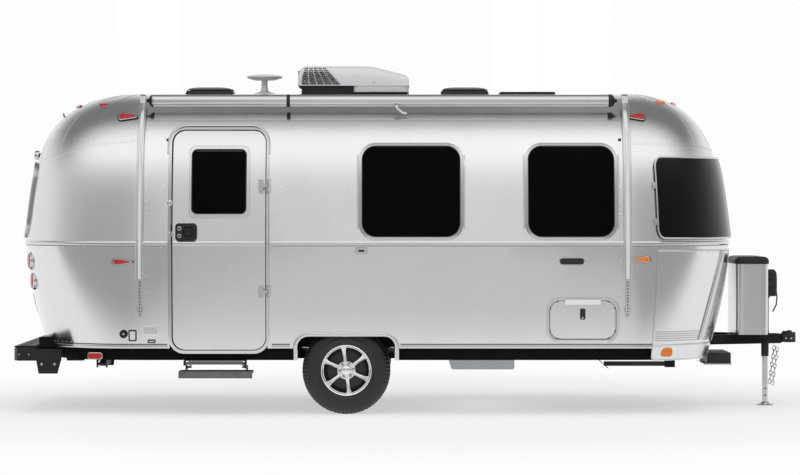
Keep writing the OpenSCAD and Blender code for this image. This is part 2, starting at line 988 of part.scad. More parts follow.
// Plan of the gas cover: two bays with the jack's notch between them
module gas_plan(grow) {
    for (s = [0, 1])
        mirror([0, s, 0])
            round_rect(2744 - grow, 3014 + grow, 66 - grow, 340 + grow, 46 + grow);
    round_rect(2744 - grow, 2950 + grow, -120 - grow, 120 + grow, 20 + grow);
}

module gas_cover_cap() {
    color("#18191a")
        translate([0, 0, 1214])
            linear_extrude(height = 62)
                gas_plan(8);
}

module tongue_jack() {
    color("#1b1c1d") {
        difference() {
            bar_z(jack_x, 0, 420, 930, 32);
            bar_z(jack_x, 0, 400, 915, 26);
        }
        side_block(2992, 3128, 930, 1164, 20, -46, 46);
        difference() {
            box(jack_x - 52, jack_x + 100, -52, 52, floor_low - 3, floor_low + 9);
            bar_z(jack_x, 0, 600, 700, 31);
        }
    }
}

module jack_leg() {
    color("silver") {
        bar_z(jack_x, 0, 10, 545, 25);
        bar_z(jack_x, 0, 0, 10, 73);
    }
}

module coupler() {
    color("#26282a")
        difference() {
            union() {
                box(3172, nose_x - 60, -62, 62, 545, 612);
                bar_z(nose_x - 60, 0, 540, 625, 60);
            }
            bar_z(nose_x - 60, 0, 500, 585, ball_bore / 2);
        }
}

module safety_chains() {
    color("gray")
        for (s = [-1, 1]) {
            bar_z(3100, s * 110, 150, 522, 8);
            bar_y(3100, s > 0 ? 80 : -118, s > 0 ? 118 : -80, 522, 8);
        }
}

// ---- Stabilisers ----

module stabiliser_mounts() {
    low = 380;
    top = belly_low - 0.5;
    plate = 8;
    reach = 34;
    color("#1f2123")
        both_sides() {
            for (y = [-front_leg_y - reach - plate, -front_leg_y + reach])
                box(front_leg_x - 20, front_leg_x + 60, y, y + plate, low, top);
            box(front_leg_x - 20, front_leg_x + 60, -front_leg_y - reach, -front_leg_y + reach,
                top - plate, top);
            bar_y(front_leg_x, -front_leg_y - 40, -front_leg_y + 40, leg_pivot_z, 8);
            for (x = [rear_leg_x - reach - plate, rear_leg_x + reach])
                box(x, x + plate, -rear_leg_y - 60, -rear_leg_y + 20, low, top);
            box(rear_leg_x - reach, rear_leg_x + reach, -rear_leg_y - 60, -rear_leg_y + 20,
                top - plate, top);
            bar_x(rear_leg_x - 40, rear_leg_x + 40, -rear_leg_y, leg_pivot_z, 8);
        }
}

// A folded leg that runs from its pivot towards -X
module leg_shape() {
    difference() {
        union() {
            box(-leg_len, 0, -25, 25, -18, 18);
            translate([0, 25, 0])
                rotate([90, 0, 0])
                    cylinder(h = 50, r = 18, $fn = fine);
        }
        box(-leg_len + 20, -30, -20, 20, -30, 12);
        translate([0, 30, 0])
            rotate([90, 0, 0])
                cylinder(h = 60, r = 8.4, $fn = fine);
    }
    translate([-leg_len, 0, 0])
        rotate([0, 42, 0])
            translate([-50, -45, -8])
                cube([100, 90, 6]);
}

module front_right_leg() {
    color("#4a4d50")
        translate([front_leg_x, -front_leg_y, leg_pivot_z])
            leg_shape();
}

module front_left_leg() {
    mirror([0, 1, 0])
        front_right_leg();
}

module rear_right_leg() {
    color("#4a4d50")
        translate([rear_leg_x, -rear_leg_y, leg_pivot_z])
            rotate([0, 0, -90])
                leg_shape();
}

module rear_left_leg() {
    mirror([0, 1, 0])
        rear_right_leg();
}

// ---- Entry step ----

module step_frame() {
    color("#2a2c2e") {
        for (x = [step_front_planes[0] - 16, step_front_planes[1] + 6])
            box(x, x + plate_t, step_front_y - 22, step_rear_y + 25, step_pivot_z - 20, belly_low - 0.5);
        for (y = [step_front_y, step_rear_y])
            bar_x(step_front_planes[0] - 16, step_front_planes[1] + 16, y, step_pivot_z, step_pin_r);
        box(step_front_planes[0] - 16, step_front_planes[1] + 16, step_rear_y + 20, step_rear_y + 25,
            step_pivot_z + 12, belly_low - 0.5);
    }
}

// An arm that runs from its upper pivot inwards and down
module step_link(x, y) {
    translate([x, y, step_pivot_z])
        rotate([-step_rest, 0, 0]) {
            translate([0.5, 0, -8])
                cube([7, step_arm, 16]);
            for (d = [0, step_arm])
                translate([0, d, 0])
                    rotate([0, 90, 0])
                        cylinder(h = 8, r = 12, $fn = fine);
        }
}

// Two arms joined by a tube round their upper pivot, bored at both ends
module step_arm_pair(planes, y, bore) {
    difference() {
        union() {
            for (x = planes)
                step_link(x - 4, y);
            bar_x(planes[0] + 2, planes[1] - 2, y, step_pivot_z, 11);
        }
        bar_x(planes[0] - 10, planes[1] + 10, y, step_pivot_z, step_pin_r + 0.4);
        bar_x(planes[0] - 10, planes[1] + 10, y + step_in, step_low_z, step_pin_r + bore);
    }
}

module step_front_arms() {
    color("gray")
        step_arm_pair(step_front_planes, step_front_y, 0.4);
}

module step_rear_arms() {
    color("gray")
        step_arm_pair(step_rear_planes, step_rear_y, 1.2);
}

module step_tread() {
    top = step_low_z - 22;
    color("#3c3f42") {
        box(step_x[0], step_x[1], -1228, step_front_y + step_in + 15, top - 18, top);
        box(step_x[0], step_x[1], -1228, -1222, top - 55, top);
        for (x = [step_front_planes[0] - 16, step_front_planes[1] + 6])
            box(x, x + plate_t, step_front_y + step_in - 14, step_rear_y + step_in + 14,
                top - 18, step_low_z + 12);
        for (y = [step_front_y, step_rear_y], s = [0, 1])
            bar_x(s == 0 ? step_front_planes[0] - 10 : step_rear_planes[1] - 6,
                  s == 0 ? step_rear_planes[0] + 6 : step_front_planes[1] + 10,
                  y + step_in, step_low_z, step_pin_r);
    }
}

kerb_wall_lower();
kerb_wall_upper();
street_wall_lower();
street_wall_upper();
roof_shell();
rear_cap_lower();
rear_cap_upper();
front_cap_lower();
front_cap_upper();
floor_panel();
belly_pan();
chassis_rails();
cross_members();
drawbar();
axle();
wheel_wells();
window_frames();
window_panes();
stone_guards();
door_frame();
grab_handle();
awning_roller();
awning_arms();
air_conditioner();
dome_antenna();
roof_vents();
lamps();
rear_bumper();
belly_tank();
gas_cover();
gas_cover_cap();
tongue_jack();
coupler();
safety_chains();
stabiliser_mounts();
step_frame();
entry_door();
door_window();
door_latch();
storage_hatch();
bumper_lid();
jack_leg();
front_left_leg();
front_right_leg();
rear_left_leg();
rear_right_leg();
step_front_arms();
step_rear_arms();
step_tread();
rear_vent_lid();
front_vent_lid();
left_tyre();
left_rim();
right_tyre();
right_rim();
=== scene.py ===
"""The looks of a riveted aluminium travel caravan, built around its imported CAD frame."""
import logging
import math
from dataclasses import dataclass, field
from enum import Enum
from typing import Callable, Iterable, Sequence

import bpy
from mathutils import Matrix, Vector


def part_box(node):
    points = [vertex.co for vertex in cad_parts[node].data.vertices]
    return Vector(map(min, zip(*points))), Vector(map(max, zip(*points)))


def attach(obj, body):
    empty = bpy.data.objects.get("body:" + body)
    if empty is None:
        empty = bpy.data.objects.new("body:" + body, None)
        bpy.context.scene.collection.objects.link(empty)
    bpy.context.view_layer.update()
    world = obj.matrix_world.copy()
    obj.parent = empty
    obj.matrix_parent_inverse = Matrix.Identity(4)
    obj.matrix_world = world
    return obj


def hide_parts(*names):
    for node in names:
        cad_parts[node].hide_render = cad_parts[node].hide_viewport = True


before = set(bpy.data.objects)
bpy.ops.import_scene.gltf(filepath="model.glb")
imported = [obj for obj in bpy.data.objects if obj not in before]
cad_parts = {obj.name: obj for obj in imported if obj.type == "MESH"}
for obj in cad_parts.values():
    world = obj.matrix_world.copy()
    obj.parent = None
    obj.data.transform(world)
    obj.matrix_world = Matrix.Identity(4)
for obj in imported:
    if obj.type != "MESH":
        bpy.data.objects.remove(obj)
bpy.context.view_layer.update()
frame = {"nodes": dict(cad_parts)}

LOG = logging.getLogger("caravan")

Point = tuple[float, float, float]
Flat = tuple[float, float]
Place = Callable[[float, float, float], Point]


class Side(Enum):
    """The two long sides of the caravan."""

    KERB = -1
    STREET = 1


class End(Enum):
    """The two ends of the caravan."""

    REAR = -1
    FRONT = 1


# ---- Shape of the body ----


def power(value: float, exponent: float) -> float:
    """Raises a value to an exponent and keeps its sign."""
    return math.copysign(abs(value) ** exponent, value)


@dataclass(frozen=True)
class BodyForm:
    """The smooth outer form of the body, from which every panel takes its place.

    A level is 0 at the belt, 1 at the crown and negative below the belt.
    """

    half: float
    crown: float
    rear_seam: float
    front_seam: float
    rear_reach: float
    front_reach: float
    sill: float
    belt: float
    wall: float = 0.045
    tuck: float = 0.872
    side_tuck: float = 0.060
    rear_tuck: float = 0.184
    front_tuck: float = 0.167
    tuck_power: float = 1.6
    side_lean: float = 0.12
    rear_lean: float = 0.14
    front_lean: float = 0.17
    side_bow: float = 5.0
    rear_bow: float = 5.0
    front_bow: float = 4.4
    shoulder_power: float = 1 / 2.4
    plan_power: float = 0.8

    @classmethod
    def from_frame(cls) -> "BodyForm":
        """Reads the body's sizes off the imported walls, ends and roof."""
        low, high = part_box("kerb_wall_lower")
        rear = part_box("rear_cap_lower")[0].x
        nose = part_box("front_cap_lower")[1].x
        return cls(
            half=-low.y, crown=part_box("roof_shell")[1].z, rear_seam=low.x, front_seam=high.x,
            rear_reach=low.x - rear, front_reach=nose - high.x, sill=low.z, belt=high.z,
        )

    def level(self, z: float) -> float:
        """The level of a height above the ground."""
        return (z - self.belt) / (self.crown - self.belt if z >= self.belt else self.tuck)

    def height(self, level: float, off: float = 0.0) -> float:
        """The height of a level, on a surface that stands off from the skin."""
        if level < 0:
            return self.belt + self.tuck * level
        return self.belt + (self.crown - self.belt + off) * level

    def half_width(self, level: float, off: float = 0.0) -> float:
        """Half of the body's width at a level."""
        if level < 0:
            return self.half + off - self.side_tuck * (-level) ** self.tuck_power
        shoulder = max(0.0, 1 - level**self.side_bow) ** self.shoulder_power
        return (self.half + off) * (1 - self.side_lean * level) * shoulder

    def reach(self, end: End, level: float, off: float = 0.0) -> float:
        """How far an end stands beyond its seam at a level."""
        rear = end is End.REAR
        length = (self.rear_reach if rear else self.front_reach) + off
        if level < 0:
            return length - (self.rear_tuck if rear
                             else self.front_tuck) * (-level) ** self.tuck_power
        lean, bow = (self.rear_lean, self.rear_bow) if rear else (self.front_lean, self.front_bow)
        return length * (1 - lean * level) * max(0.0, 1 - level**bow) ** self.shoulder_power

    def on_side(self, side: Side, x: float, z: float, off: float = 0.0) -> Point:
        """A point of a long side, off metres outside its skin."""
        level = self.level(z)
        return (x, side.value * self.half_width(level, off), self.height(level, off))

    def on_end(self, end: End, angle: float, z: float, off: float = 0.0) -> Point:
        """A point of an end. The angle is 0 at the street side and 180 at the kerb side."""
        level = self.level(z)
        turn = math.radians(angle)
        seam = self.rear_seam if end is End.REAR else self.front_seam
        return (
            seam + end.value * self.reach(end, level, off) * power(math.sin(turn), self.plan_power),
            self.half_width(level, off) * power(math.cos(turn), self.plan_power),
            self.height(level, off),
        )

    def side_place(self, side: Side) -> Place:
        """A function that puts (x, z, off) on a long side."""
        return lambda x, z, off: self.on_side(side, x, z, off)

    def end_place(self, end: End) -> Place:
        """A function that puts (angle, z, off) on an end."""
        return lambda angle, z, off: self.on_end(end, angle, z, off)

    def end_angle(self, end: End, x: float, z: float, side: Side = Side.KERB) -> float:
        """The angle at which an end's skin passes a place along the caravan.

        Args:
            end: The end.
            x: The place along the caravan.
            z: The height.
            side: Which half of the end is meant.

        Returns:
            The angle in degrees.
        """
        seam = self.rear_seam if end is End.REAR else self.front_seam
        share = abs(x - seam) / self.reach(end, self.level(z))
        turn = math.degrees(math.asin(min(1.0, share ** (1 / self.plan_power))))
        return 180 - turn if side is Side.KERB else turn

    def angle_across(self, y: float, z: float) -> float:
        """The angle at which an end's skin passes a place across the caravan."""
        share = y / self.half_width(self.level(z))
        return math.degrees(math.acos(max(-1.0, min(1.0, power(share, 1 / self.plan_power)))))

    def facing(self, end: End) -> Place:
        """A function that puts (y, z, off) on an end, seen along the caravan."""
        return lambda y, z, off: self.on_end(end, self.angle_across(y, z), z, off)

    def girdle(self, z: float, off: float, step: float = 0.05) -> list[Point]:
        """The whole outline of the body at a height, as a closed run of points."""
        run: list[Point] = []
        count = max(2, round((self.front_seam - self.rear_seam) / step))
        for i in range(count):
            x = self.rear_seam + (self.front_seam - self.rear_seam) * i / count
            run.append(self.on_side(Side.KERB, x, z, off))
        run += [self.on_end(End.FRONT, 180 - 2.5 * i, z, off) for i in range(72)]
        for i in range(count):
            x = self.front_seam + (self.rear_seam - self.front_seam) * i / count
            run.append(self.on_side(Side.STREET, x, z, off))
        run += [self.on_end(End.REAR, 2.5 * i, z, off) for i in range(72)]
        return run


FORM = BodyForm.from_frame()


def normal_of(place: Place, u: float, v: float) -> Vector:
    """The direction straight out of a surface at (u, v)."""
    return (Vector(place(u, v, 0.01)) - Vector(place(u, v, 0.0))).normalized()


def spread(low: float, high: float, step: float, marks: Iterable[float] = ()) -> list[float]:
    """Values from low to high about a step apart, with every mark among them."""
    stops = sorted({low, high, *[m for m in marks if low < m < high]})
    found = [low]
    for a, b in zip(stops, stops[1:]):
        count = max(1, round((b - a) / step))
        found += [a + (b - a) * (i + 1) / count for i in range(count)]
    return found


@dataclass(frozen=True)
class Opening:
    """A rectangle with round corners, in the two directions of a surface."""

    low_u: float
    high_u: float
    low_v: float
    high_v: float
    radius: float
    unit: float = 1.0

    def grown(self, grow: float) -> "Opening":
        """The same outline, larger all round by some metres."""
        wide = grow * self.unit
        return Opening(
            self.low_u - wide, self.high_u + wide, self.low_v - grow, self.high_v + grow,
            max(self.radius + grow, 0.001), self.unit,
        )

    def holds(self, u: float, v: float) -> bool:
        """Whether a place lies inside the outline."""
        if not (self.low_u < u < self.high_u and self.low_v < v < self.high_v):
            return False
        r = self.radius
        du = max(self.low_u + r * self.unit - u, u - self.high_u + r * self.unit, 0.0) / self.unit
        dv = max(self.low_v + r - v, v - self.high_v + r, 0.0)
        return math.hypot(du, dv) <= r

    def loop(self, grow: float = 0.0, arc: int = 8, side: int = 10) -> list[Flat]:
        """The outline as a closed run of places, always the same number of them.

        Args:
            grow: How much larger than the opening.
            arc: Steps in each round corner.
            side: Steps in each straight side.

        Returns:
            The places, from the lower right corner round.
        """
        o = self.grown(grow)
        r = o.radius
        corners = [
            (o.high_u - r * o.unit, o.low_v + r, -90), (o.high_u - r * o.unit, o.high_v - r, 0),
            (o.low_u + r * o.unit, o.high_v - r, 90), (o.low_u + r * o.unit, o.low_v + r, 180),
        ]
        run: list[Flat] = []
        for u, v, start in corners:
            turns = [math.radians(start + 90 * i / arc) for i in range(arc + 1)]
            bow = [(u + r * o.unit * math.cos(t), v + r * math.sin(t)) for t in turns]
            if run:
                run += between(run[-1], bow[0], side)
            run += bow
        return run + between(run[-1], run[0], side)

    def middle(self) -> Flat:
        """The middle of the outline."""
        return ((self.low_u + self.high_u) / 2, (self.low_v + self.high_v) / 2)


def between(a: Flat, b: Flat, count: int) -> list[Flat]:
    """Places between two places, without either of them."""
    return [
        (a[0] + (b[0] - a[0]) * i / count, a[1] + (b[1] - a[1]) * i / count)
        for i in range(1, count)
    ]


# ---- Mesh making ----


class Draft:
    """Collects the points and faces of one piece before it becomes an object."""

    def __init__(self) -> None:
        """Starts an empty draft."""
        self.points: list[Point] = []
        self.faces: list[tuple[int, ...]] = []
        self.finish: list[int] = []

    def add(self, points: Iterable[Point]) -> list[int]:
        """Adds points and returns their numbers."""
        start = len(self.points)
        self.points += [tuple(p) for p in points]
        return list(range(start, len(self.points)))

    def face(self, ids: Sequence[int], finish: int = 0) -> None:
        """Adds a face, without the points that repeat."""
        kept = [p for i, p in enumerate(ids) if p != ids[i - 1]]
        if len(set(kept)) >= 3:
            self.faces.append(tuple(kept))
            self.finish.append(finish)

    def patch(
        self, rows: Sequence[Sequence[Point]], finish: int = 0, closed: bool = False,
        flip: bool = False, keep: Callable[[int, int], bool] | None = None,
    ) -> list[list[int]]:
        """Adds a sheet through rows of points.

        Args:
            rows: Rows with the same number of points each.
            finish: The finish of its faces.
            closed: Whether each row closes on itself.
            flip: Whether the faces look the other way.
            keep: Says which faces to make, by row and column.

        Returns:
            The numbers of the points, row by row.
        """
        ids = [self.add(row) for row in rows]
        for i in range(len(ids) - 1):
            for j in range(len(ids[i]) if closed else len(ids[i]) - 1):
                if keep is None or keep(i, j):
                    k = (j + 1) % len(ids[i])
                    four = [ids[i][j], ids[i][k], ids[i + 1][k], ids[i + 1][j]]
                    self.face(four[::-1] if flip else four, finish)
        return ids

    def cover(self, ids: Sequence[int], finish: int = 0, flip: bool = False) -> None:
        """Closes a run of points with one face."""
        self.face(list(ids)[::-1] if flip else list(ids), finish)

    def box(self, low: Sequence[float], high: Sequence[float], finish: int = 0) -> None:
        """Adds a rectangular block between two corners."""
        (a, b, c), (d, e, f) = low, high
        p = self.add([(a, b, c), (d, b, c), (d, e, c), (a, e, c),
                      (a, b, f), (d, b, f), (d, e, f), (a, e, f)])
        for q in ((3, 2, 1, 0), (4, 5, 6, 7), (0, 1, 5, 4), (1, 2, 6, 5), (2, 3, 7, 6),
                  (3, 0, 4, 7)):
            self.face([p[i] for i in q], finish)

    def prism(self, outline: Sequence[Point], shift: Sequence[float], finish: int = 0) -> None:
        """Adds a solid between a flat outline and the same outline moved by a shift."""
        low = self.add(outline)
        high = self.add([tuple(Vector(p) + Vector(shift)) for p in outline])
        count = len(outline)
        for i in range(count):
            k = (i + 1) % count
            self.face([low[i], low[k], high[k], high[i]], finish)
        self.cover(low, finish, flip=True)
        self.cover(high, finish)

    def rod(
        self, path: Sequence[Sequence[float]], radius: float, finish: int = 0, sides: int = 12,
        ring: bool = False,
    ) -> None:
        """Adds a round bar along a path.

        Args:
            path: The middle line of the bar.
            radius: Its radius.
            finish: The finish of its faces.
            sides: How many sides it has.
            ring: Whether the path closes on itself.
        """
        line = [Vector(p) for p in path]
        count = len(line)
        rows: list[list[Point]] = []
        up: Vector | None = None
        for i, p in enumerate(line):
            before = line[i - 1] if (i or ring) else p
            after = line[(i + 1) % count] if (i < count - 1 or ring) else p
            way = (after - before).normalized()
            if up is None:
                up = Vector((0, 0, 1)) if abs(way.z) < 0.9 else Vector((1, 0, 0))
            up = (up - way * up.dot(way)).normalized()
            across = way.cross(up)
            rows.append([
                tuple(p + (across * math.cos(t) + up * math.sin(t)) * radius)
                for t in (math.tau * k / sides for k in range(sides))
            ])
        if ring:
            rows.append(rows[0])
        ids = self.patch(rows, finish, closed=True, flip=True)
        if not ring:
            self.cover(ids[0], finish)
            self.cover(ids[-1], finish, flip=True)

    def turned(
        self, middle: Sequence[float], axis: Sequence[float],
        profile: Sequence[tuple[float, float]], finish: int = 0, sides: int = 24,
        dish: Callable[[float, float], float] | None = None, ends: bool = True,
    ) -> None:
        """Adds a shape turned about an axis.

        Args:
            middle: A point on the axis.
            axis: The direction of the axis.
            profile: Pairs of a radius and a distance along the axis.
            finish: The finish of its faces.
            sides: How many sides it has.
            dish: Changes a radius by its distance along and its turn.
            ends: Whether its two ends are closed.
        """
        way = Vector(axis).normalized()
        up = Vector((0, 0, 1)) if abs(way.z) < 0.9 else Vector((1, 0, 0))
        up = (up - way * up.dot(way)).normalized()
        across = way.cross(up)
        rows = []
        for radius, along in profile:
            row = []
            for k in range(sides):
                t = math.tau * k / sides
                r = dish(radius, t) if dish else radius
                row.append(tuple(Vector(middle) + way * along
                                 + (across * math.cos(t) + up * math.sin(t)) * r))
            rows.append(row)
        ids = self.patch(rows, finish, closed=True, flip=True)
        if ends and profile[0][0] > 0:
            self.cover(ids[0], finish)
        if ends and profile[-1][0] > 0:
            self.cover(ids[-1], finish, flip=True)

    def rivet(self, at: Sequence[float], out: Vector, radius: float = 0.0045,
              finish: int = 0) -> None:
        """Adds a low round rivet head."""
        self.turned(at, out, [(radius, -0.0006), (radius * 0.86, radius * 0.34),
                              (0.0, radius * 0.5)],
                    finish, sides=8)

    def rivets(self, place: Place, spots: Iterable[Flat], off: float = 0.0, radius: float = 0.0045,
               finish: int = 0) -> None:
        """Adds a rivet at each place of a surface."""
        for u, v in spots:
            self.rivet(place(u, v, off), normal_of(place, u, v), radius, finish)

    def hoop(
        self, place: Place, opening: Opening, profile: Sequence[Flat], finish: int = 0,
        arc: int = 8, side: int = 10, flip: bool = False,
    ) -> None:
        """Adds a profile swept round an opening.

        Args:
            place: The surface.
            opening: The outline.
            profile: Pairs of how much larger than the outline, and how far off the surface.
            finish: The finish of its faces.
            arc: Steps in each round corner.
            side: Steps in each straight side.
            flip: Whether the faces look the other way.
        """
        rows = [
            [place(u, v, off) for u, v in opening.loop(grow, arc, side)] for grow, off in profile
        ]
        self.patch(rows, finish, closed=True, flip=flip)

    def pane(
        self, place: Place, opening: Opening, off: float, finish: int = 0, rings: int = 6,
        arc: int = 8, side: int = 10, flip: bool = False, bulge: float = 0.0,
    ) -> None:
        """Adds a smooth sheet that fills an opening and follows the surface.

        Args:
            place: The surface.
            opening: The outline.
            off: How far off the surface.
            finish: The finish of its faces.
            rings: How many rings run from the edge to the middle.
            arc: Steps in each round corner.
            side: Steps in each straight side.
            flip: Whether it looks inwards.
            bulge: How far its middle stands out further.
        """
        mu, mv = opening.middle()
        rows = []
        for k in range(rings + 1):
            t = 1 - 0.96 * k / rings
            lift = off + bulge * (1 - t * t)
            rows.append([
                place(mu + (u - mu) * t, mv + (v - mv) * t, lift)
                for u, v in opening.loop(0.0, arc, side)
            ])
        ids = self.patch(rows, finish, closed=True, flip=flip)
        self.cover(ids[-1], finish, flip=flip)

    def raised(
        self, place: Place, opening: Opening, profile: Sequence[Flat], finish: int, top: int,
        rings: int, arc: int = 8, side: int = 10, flip: bool = False, bulge: float = 0.0,
    ) -> None:
        """Adds a profile round an opening and closes it with a sheet at the profile's end.

        Args:
            place: The surface.
            opening: The outline.
            profile: Pairs of how much larger than the outline, and how far off the surface.
            finish: The finish of the profile.
            top: The finish of the sheet.
            rings: How many rings the sheet has.
            arc: Steps in each round corner.
            side: Steps in each straight side.
            flip: Whether the faces look the other way.
            bulge: How far the sheet's middle stands out further.
        """
        self.hoop(place, opening, profile, finish, arc, side, flip)
        grow, off = profile[-1]
        self.pane(place, opening.grown(grow), off, top, rings, arc, side, flip, bulge)

    def make(
        self, name: str, body: str, finishes: Sequence["Finish"], replaces: Sequence[str] = (),
        bevel: float = 0.0, sharp: float = 35.0,
    ) -> bpy.types.Object:
        """Turns the draft into an object that rides on a body.

        Args:
            name: The piece's name.
            body: The CAD body it rides on.
            finishes: Its finishes, in the order of the faces' numbers.
            replaces: The CAD nodes that it stands for.
            bevel: The width of its rounded edges.
            sharp: The angle in degrees past which an edge stays sharp.

        Returns:
            The object.
        """
        mesh = bpy.data.meshes.new(name)
        mesh.from_pydata(self.points, [], self.faces)
        for finish in finishes:
            mesh.materials.append(finish.material())
        mesh.polygons.foreach_set("material_index", self.finish)
        mesh.polygons.foreach_set("use_smooth", [True] * len(self.faces))
        mesh.validate()
        mesh.set_sharp_from_angle(angle=math.radians(sharp))
        piece = bpy.data.objects.new(name, mesh)
        bpy.context.scene.collection.objects.link(piece)
        if bevel > 0:
            round_over = piece.modifiers.new("rounded_edges", "BEVEL")
            round_over.width = bevel
            round_over.segments = 2
            round_over.limit_method = "ANGLE"
            round_over.angle_limit = math.radians(sharp)
            round_over.harden_normals = True
        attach(piece, body)
        if replaces:
            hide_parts(*replaces)
        LOG.info("built %s: %d faces on %s", name, len(self.faces), body)
        return piece


# ---- Finishes ----

Colour = tuple[float, float, float]


def shade(value: float, tint: float = 0.0) -> Colour:
    """A grey with a slight cool tint."""
    return (value * (1 - tint), value, value * (1 + tint))


def surface_group() -> bpy.types.ShaderNodeTree:
    """The shared node group that gives every finish its grain, mottling, dust and worn edges.

    Returns:
        A group whose outputs are a colour, a roughness and a normal that change over the surface.
    """
    tree = bpy.data.node_groups.get("weathered_surface")
    if tree:
        return tree
    tree = bpy.data.node_groups.new("weathered_surface", "ShaderNodeTree")
    sockets = (
        ("Colour", "NodeSocketColor"), ("Worn Colour", "NodeSocketColor"),
        ("Rough", "NodeSocketFloat"),
        ("Swing", "NodeSocketFloat"), ("Grain", "NodeSocketFloat"), ("Stretch", "NodeSocketVector"),
        ("Relief", "NodeSocketFloat"), ("Mottle", "NodeSocketFloat"), ("Dust", "NodeSocketFloat"),
        ("Worn Edges", "NodeSocketFloat"),
    )
    for name, kind in sockets:
        tree.interface.new_socket(name, in_out="INPUT", socket_type=kind)
    for name, kind in (("Colour", "NodeSocketColor"), ("Roughness", "NodeSocketFloat"),
                       ("Normal", "NodeSocketVector")):
        tree.interface.new_socket(name, in_out="OUTPUT", socket_type=kind)
    nodes, link = tree.nodes, tree.links.new
    given, made = nodes.new("NodeGroupInput"), nodes.new("NodeGroupOutput")
    place = nodes.new("ShaderNodeTexCoord")

    def noise(scale: float, detail: float) -> bpy.types.Node:
        """A noise texture in the frame's own coordinates."""
        node = nodes.new("ShaderNodeTexNoise")
        node.inputs["Scale"].default_value = scale
        node.inputs["Detail"].default_value = detail
        link(place.outputs["Object"], node.inputs["Vector"])
        return node

    def maths(kind: str, a: object, b: object, clamp: bool = False) -> bpy.types.NodeSocket:
        """A sum of two sockets or numbers."""
        node = nodes.new("ShaderNodeMath")
        node.operation, node.use_clamp = kind, clamp
        for socket, value in zip(node.inputs, (a, b)):
            if isinstance(value, bpy.types.NodeSocket):
                link(value, socket)
            else:
                socket.default_value = value
        return node.outputs["Value"]

    stretched = nodes.new("ShaderNodeVectorMath")
    stretched.operation = "MULTIPLY"
    link(place.outputs["Object"], stretched.inputs[0])
    link(given.outputs["Stretch"], stretched.inputs[1])
    grain = noise(1.0, 5.0)
    link(stretched.outputs["Vector"], grain.inputs["Vector"])
    link(given.outputs["Grain"], grain.inputs["Scale"])
    broad, fine = noise(1.3, 3.0), noise(9.0, 6.0)
    cloud = maths("ADD", maths("MULTIPLY", broad.outputs["Fac"], 0.65),
                  maths("MULTIPLY", fine.outputs["Fac"], 0.35))
    spots = maths("MULTIPLY", maths("SUBTRACT", cloud, 0.42), given.outputs["Mottle"])
    shape = nodes.new("ShaderNodeNewGeometry")
    rim = maths("MULTIPLY", maths("SUBTRACT", shape.outputs["Pointiness"], 0.52), 9.0, True)
    rim = maths("MULTIPLY", maths("MULTIPLY", rim, fine.outputs["Fac"]),
                given.outputs["Worn Edges"])
    upward = nodes.new("ShaderNodeSeparateXYZ")
    link(shape.outputs["Normal"], upward.inputs["Vector"])
    lying = maths("MULTIPLY", maths("SUBTRACT", upward.outputs["Z"], 0.35), fine.outputs["Fac"],
                  True)
    lying = maths("MULTIPLY", lying, given.outputs["Dust"], True)
    worn = maths("ADD", maths("MULTIPLY", spots, 3.0), rim, True)
    colour = nodes.new("ShaderNodeMix")
    colour.data_type = "RGBA"
    link(worn, colour.inputs["Factor"])
    link(given.outputs["Colour"], colour.inputs["A"])
    link(given.outputs["Worn Colour"], colour.inputs["B"])
    dusty = nodes.new("ShaderNodeMix")
    dusty.data_type = "RGBA"
    dusty.inputs["B"].default_value = (0.42, 0.39, 0.35, 1)
    link(lying, dusty.inputs["Factor"])
    link(colour.outputs["Result"], dusty.inputs["A"])
    link(dusty.outputs["Result"], made.inputs["Colour"])
    uneven = maths("MULTIPLY", maths("SUBTRACT", grain.outputs["Fac"], 0.5), given.outputs["Swing"])
    uneven = maths("ADD", uneven, maths("MULTIPLY", maths("SUBTRACT", cloud, 0.5),
                                        given.outputs["Swing"]))
    rough = maths("ADD", maths("ADD", given.outputs["Rough"], uneven),
                  maths("MULTIPLY", lying, 0.3), True)
    link(rough, made.inputs["Roughness"])
    bump = nodes.new("ShaderNodeBump")
    bump.inputs["Strength"].default_value = 1.0
    link(given.outputs["Relief"], bump.inputs["Distance"])
    link(grain.outputs["Fac"], bump.inputs["Height"])
    link(bump.outputs["Normal"], made.inputs["Normal"])
    return tree


@dataclass(frozen=True)
class Finish:
    """A finish: its colours, its gloss, and the size and strength of its grain."""

    name: str
    slot: str
    colour: Colour
    worn: Colour
    metallic: float = 0.0
    rough: float = 0.5
    swing: float = 0.1
    grain: float = 60.0
    stretch: Colour = (1.0, 1.0, 1.0)
    relief: float = 0.0002
    mottle: float = 0.5
    dust: float = 0.0
    edges: float = 0.3
    coat: float = 0.0
    specular: float = 0.5

    def material(self) -> bpy.types.Material:
        """The material of this finish, made once."""
        title = f"{self.name}_finish"
        found = bpy.data.materials.get(title)
        if found:
            return found
        material = bpy.data.materials.new(title)
        material.use_nodes = True
        nodes, link = material.node_tree.nodes, material.node_tree.links.new
        shader = next(n for n in nodes if n.type == "BSDF_PRINCIPLED")
        shader.inputs["Metallic"].default_value = self.metallic
        shader.inputs["Coat Weight"].default_value = self.coat
        shader.inputs["Coat Roughness"].default_value = 0.06
        shader.inputs["Specular IOR Level"].default_value = self.specular
        surface = nodes.new("ShaderNodeGroup")
        surface.node_tree = surface_group()
        values = {
            "Colour": (*self.colour, 1), "Worn Colour": (*self.worn, 1), "Rough": self.rough,
            "Swing": self.swing, "Grain": self.grain, "Stretch": self.stretch,
            "Relief": self.relief,
            "Mottle": self.mottle, "Dust": self.dust, "Worn Edges": self.edges,
        }
        for socket, value in values.items():
            surface.inputs[socket].default_value = value
        link(surface.outputs["Colour"], shader.inputs["Base Color"])
        link(surface.outputs["Roughness"], shader.inputs["Roughness"])
        link(surface.outputs["Normal"], shader.inputs["Normal"])
        material.diffuse_color = (*self.colour, 1)
        return material


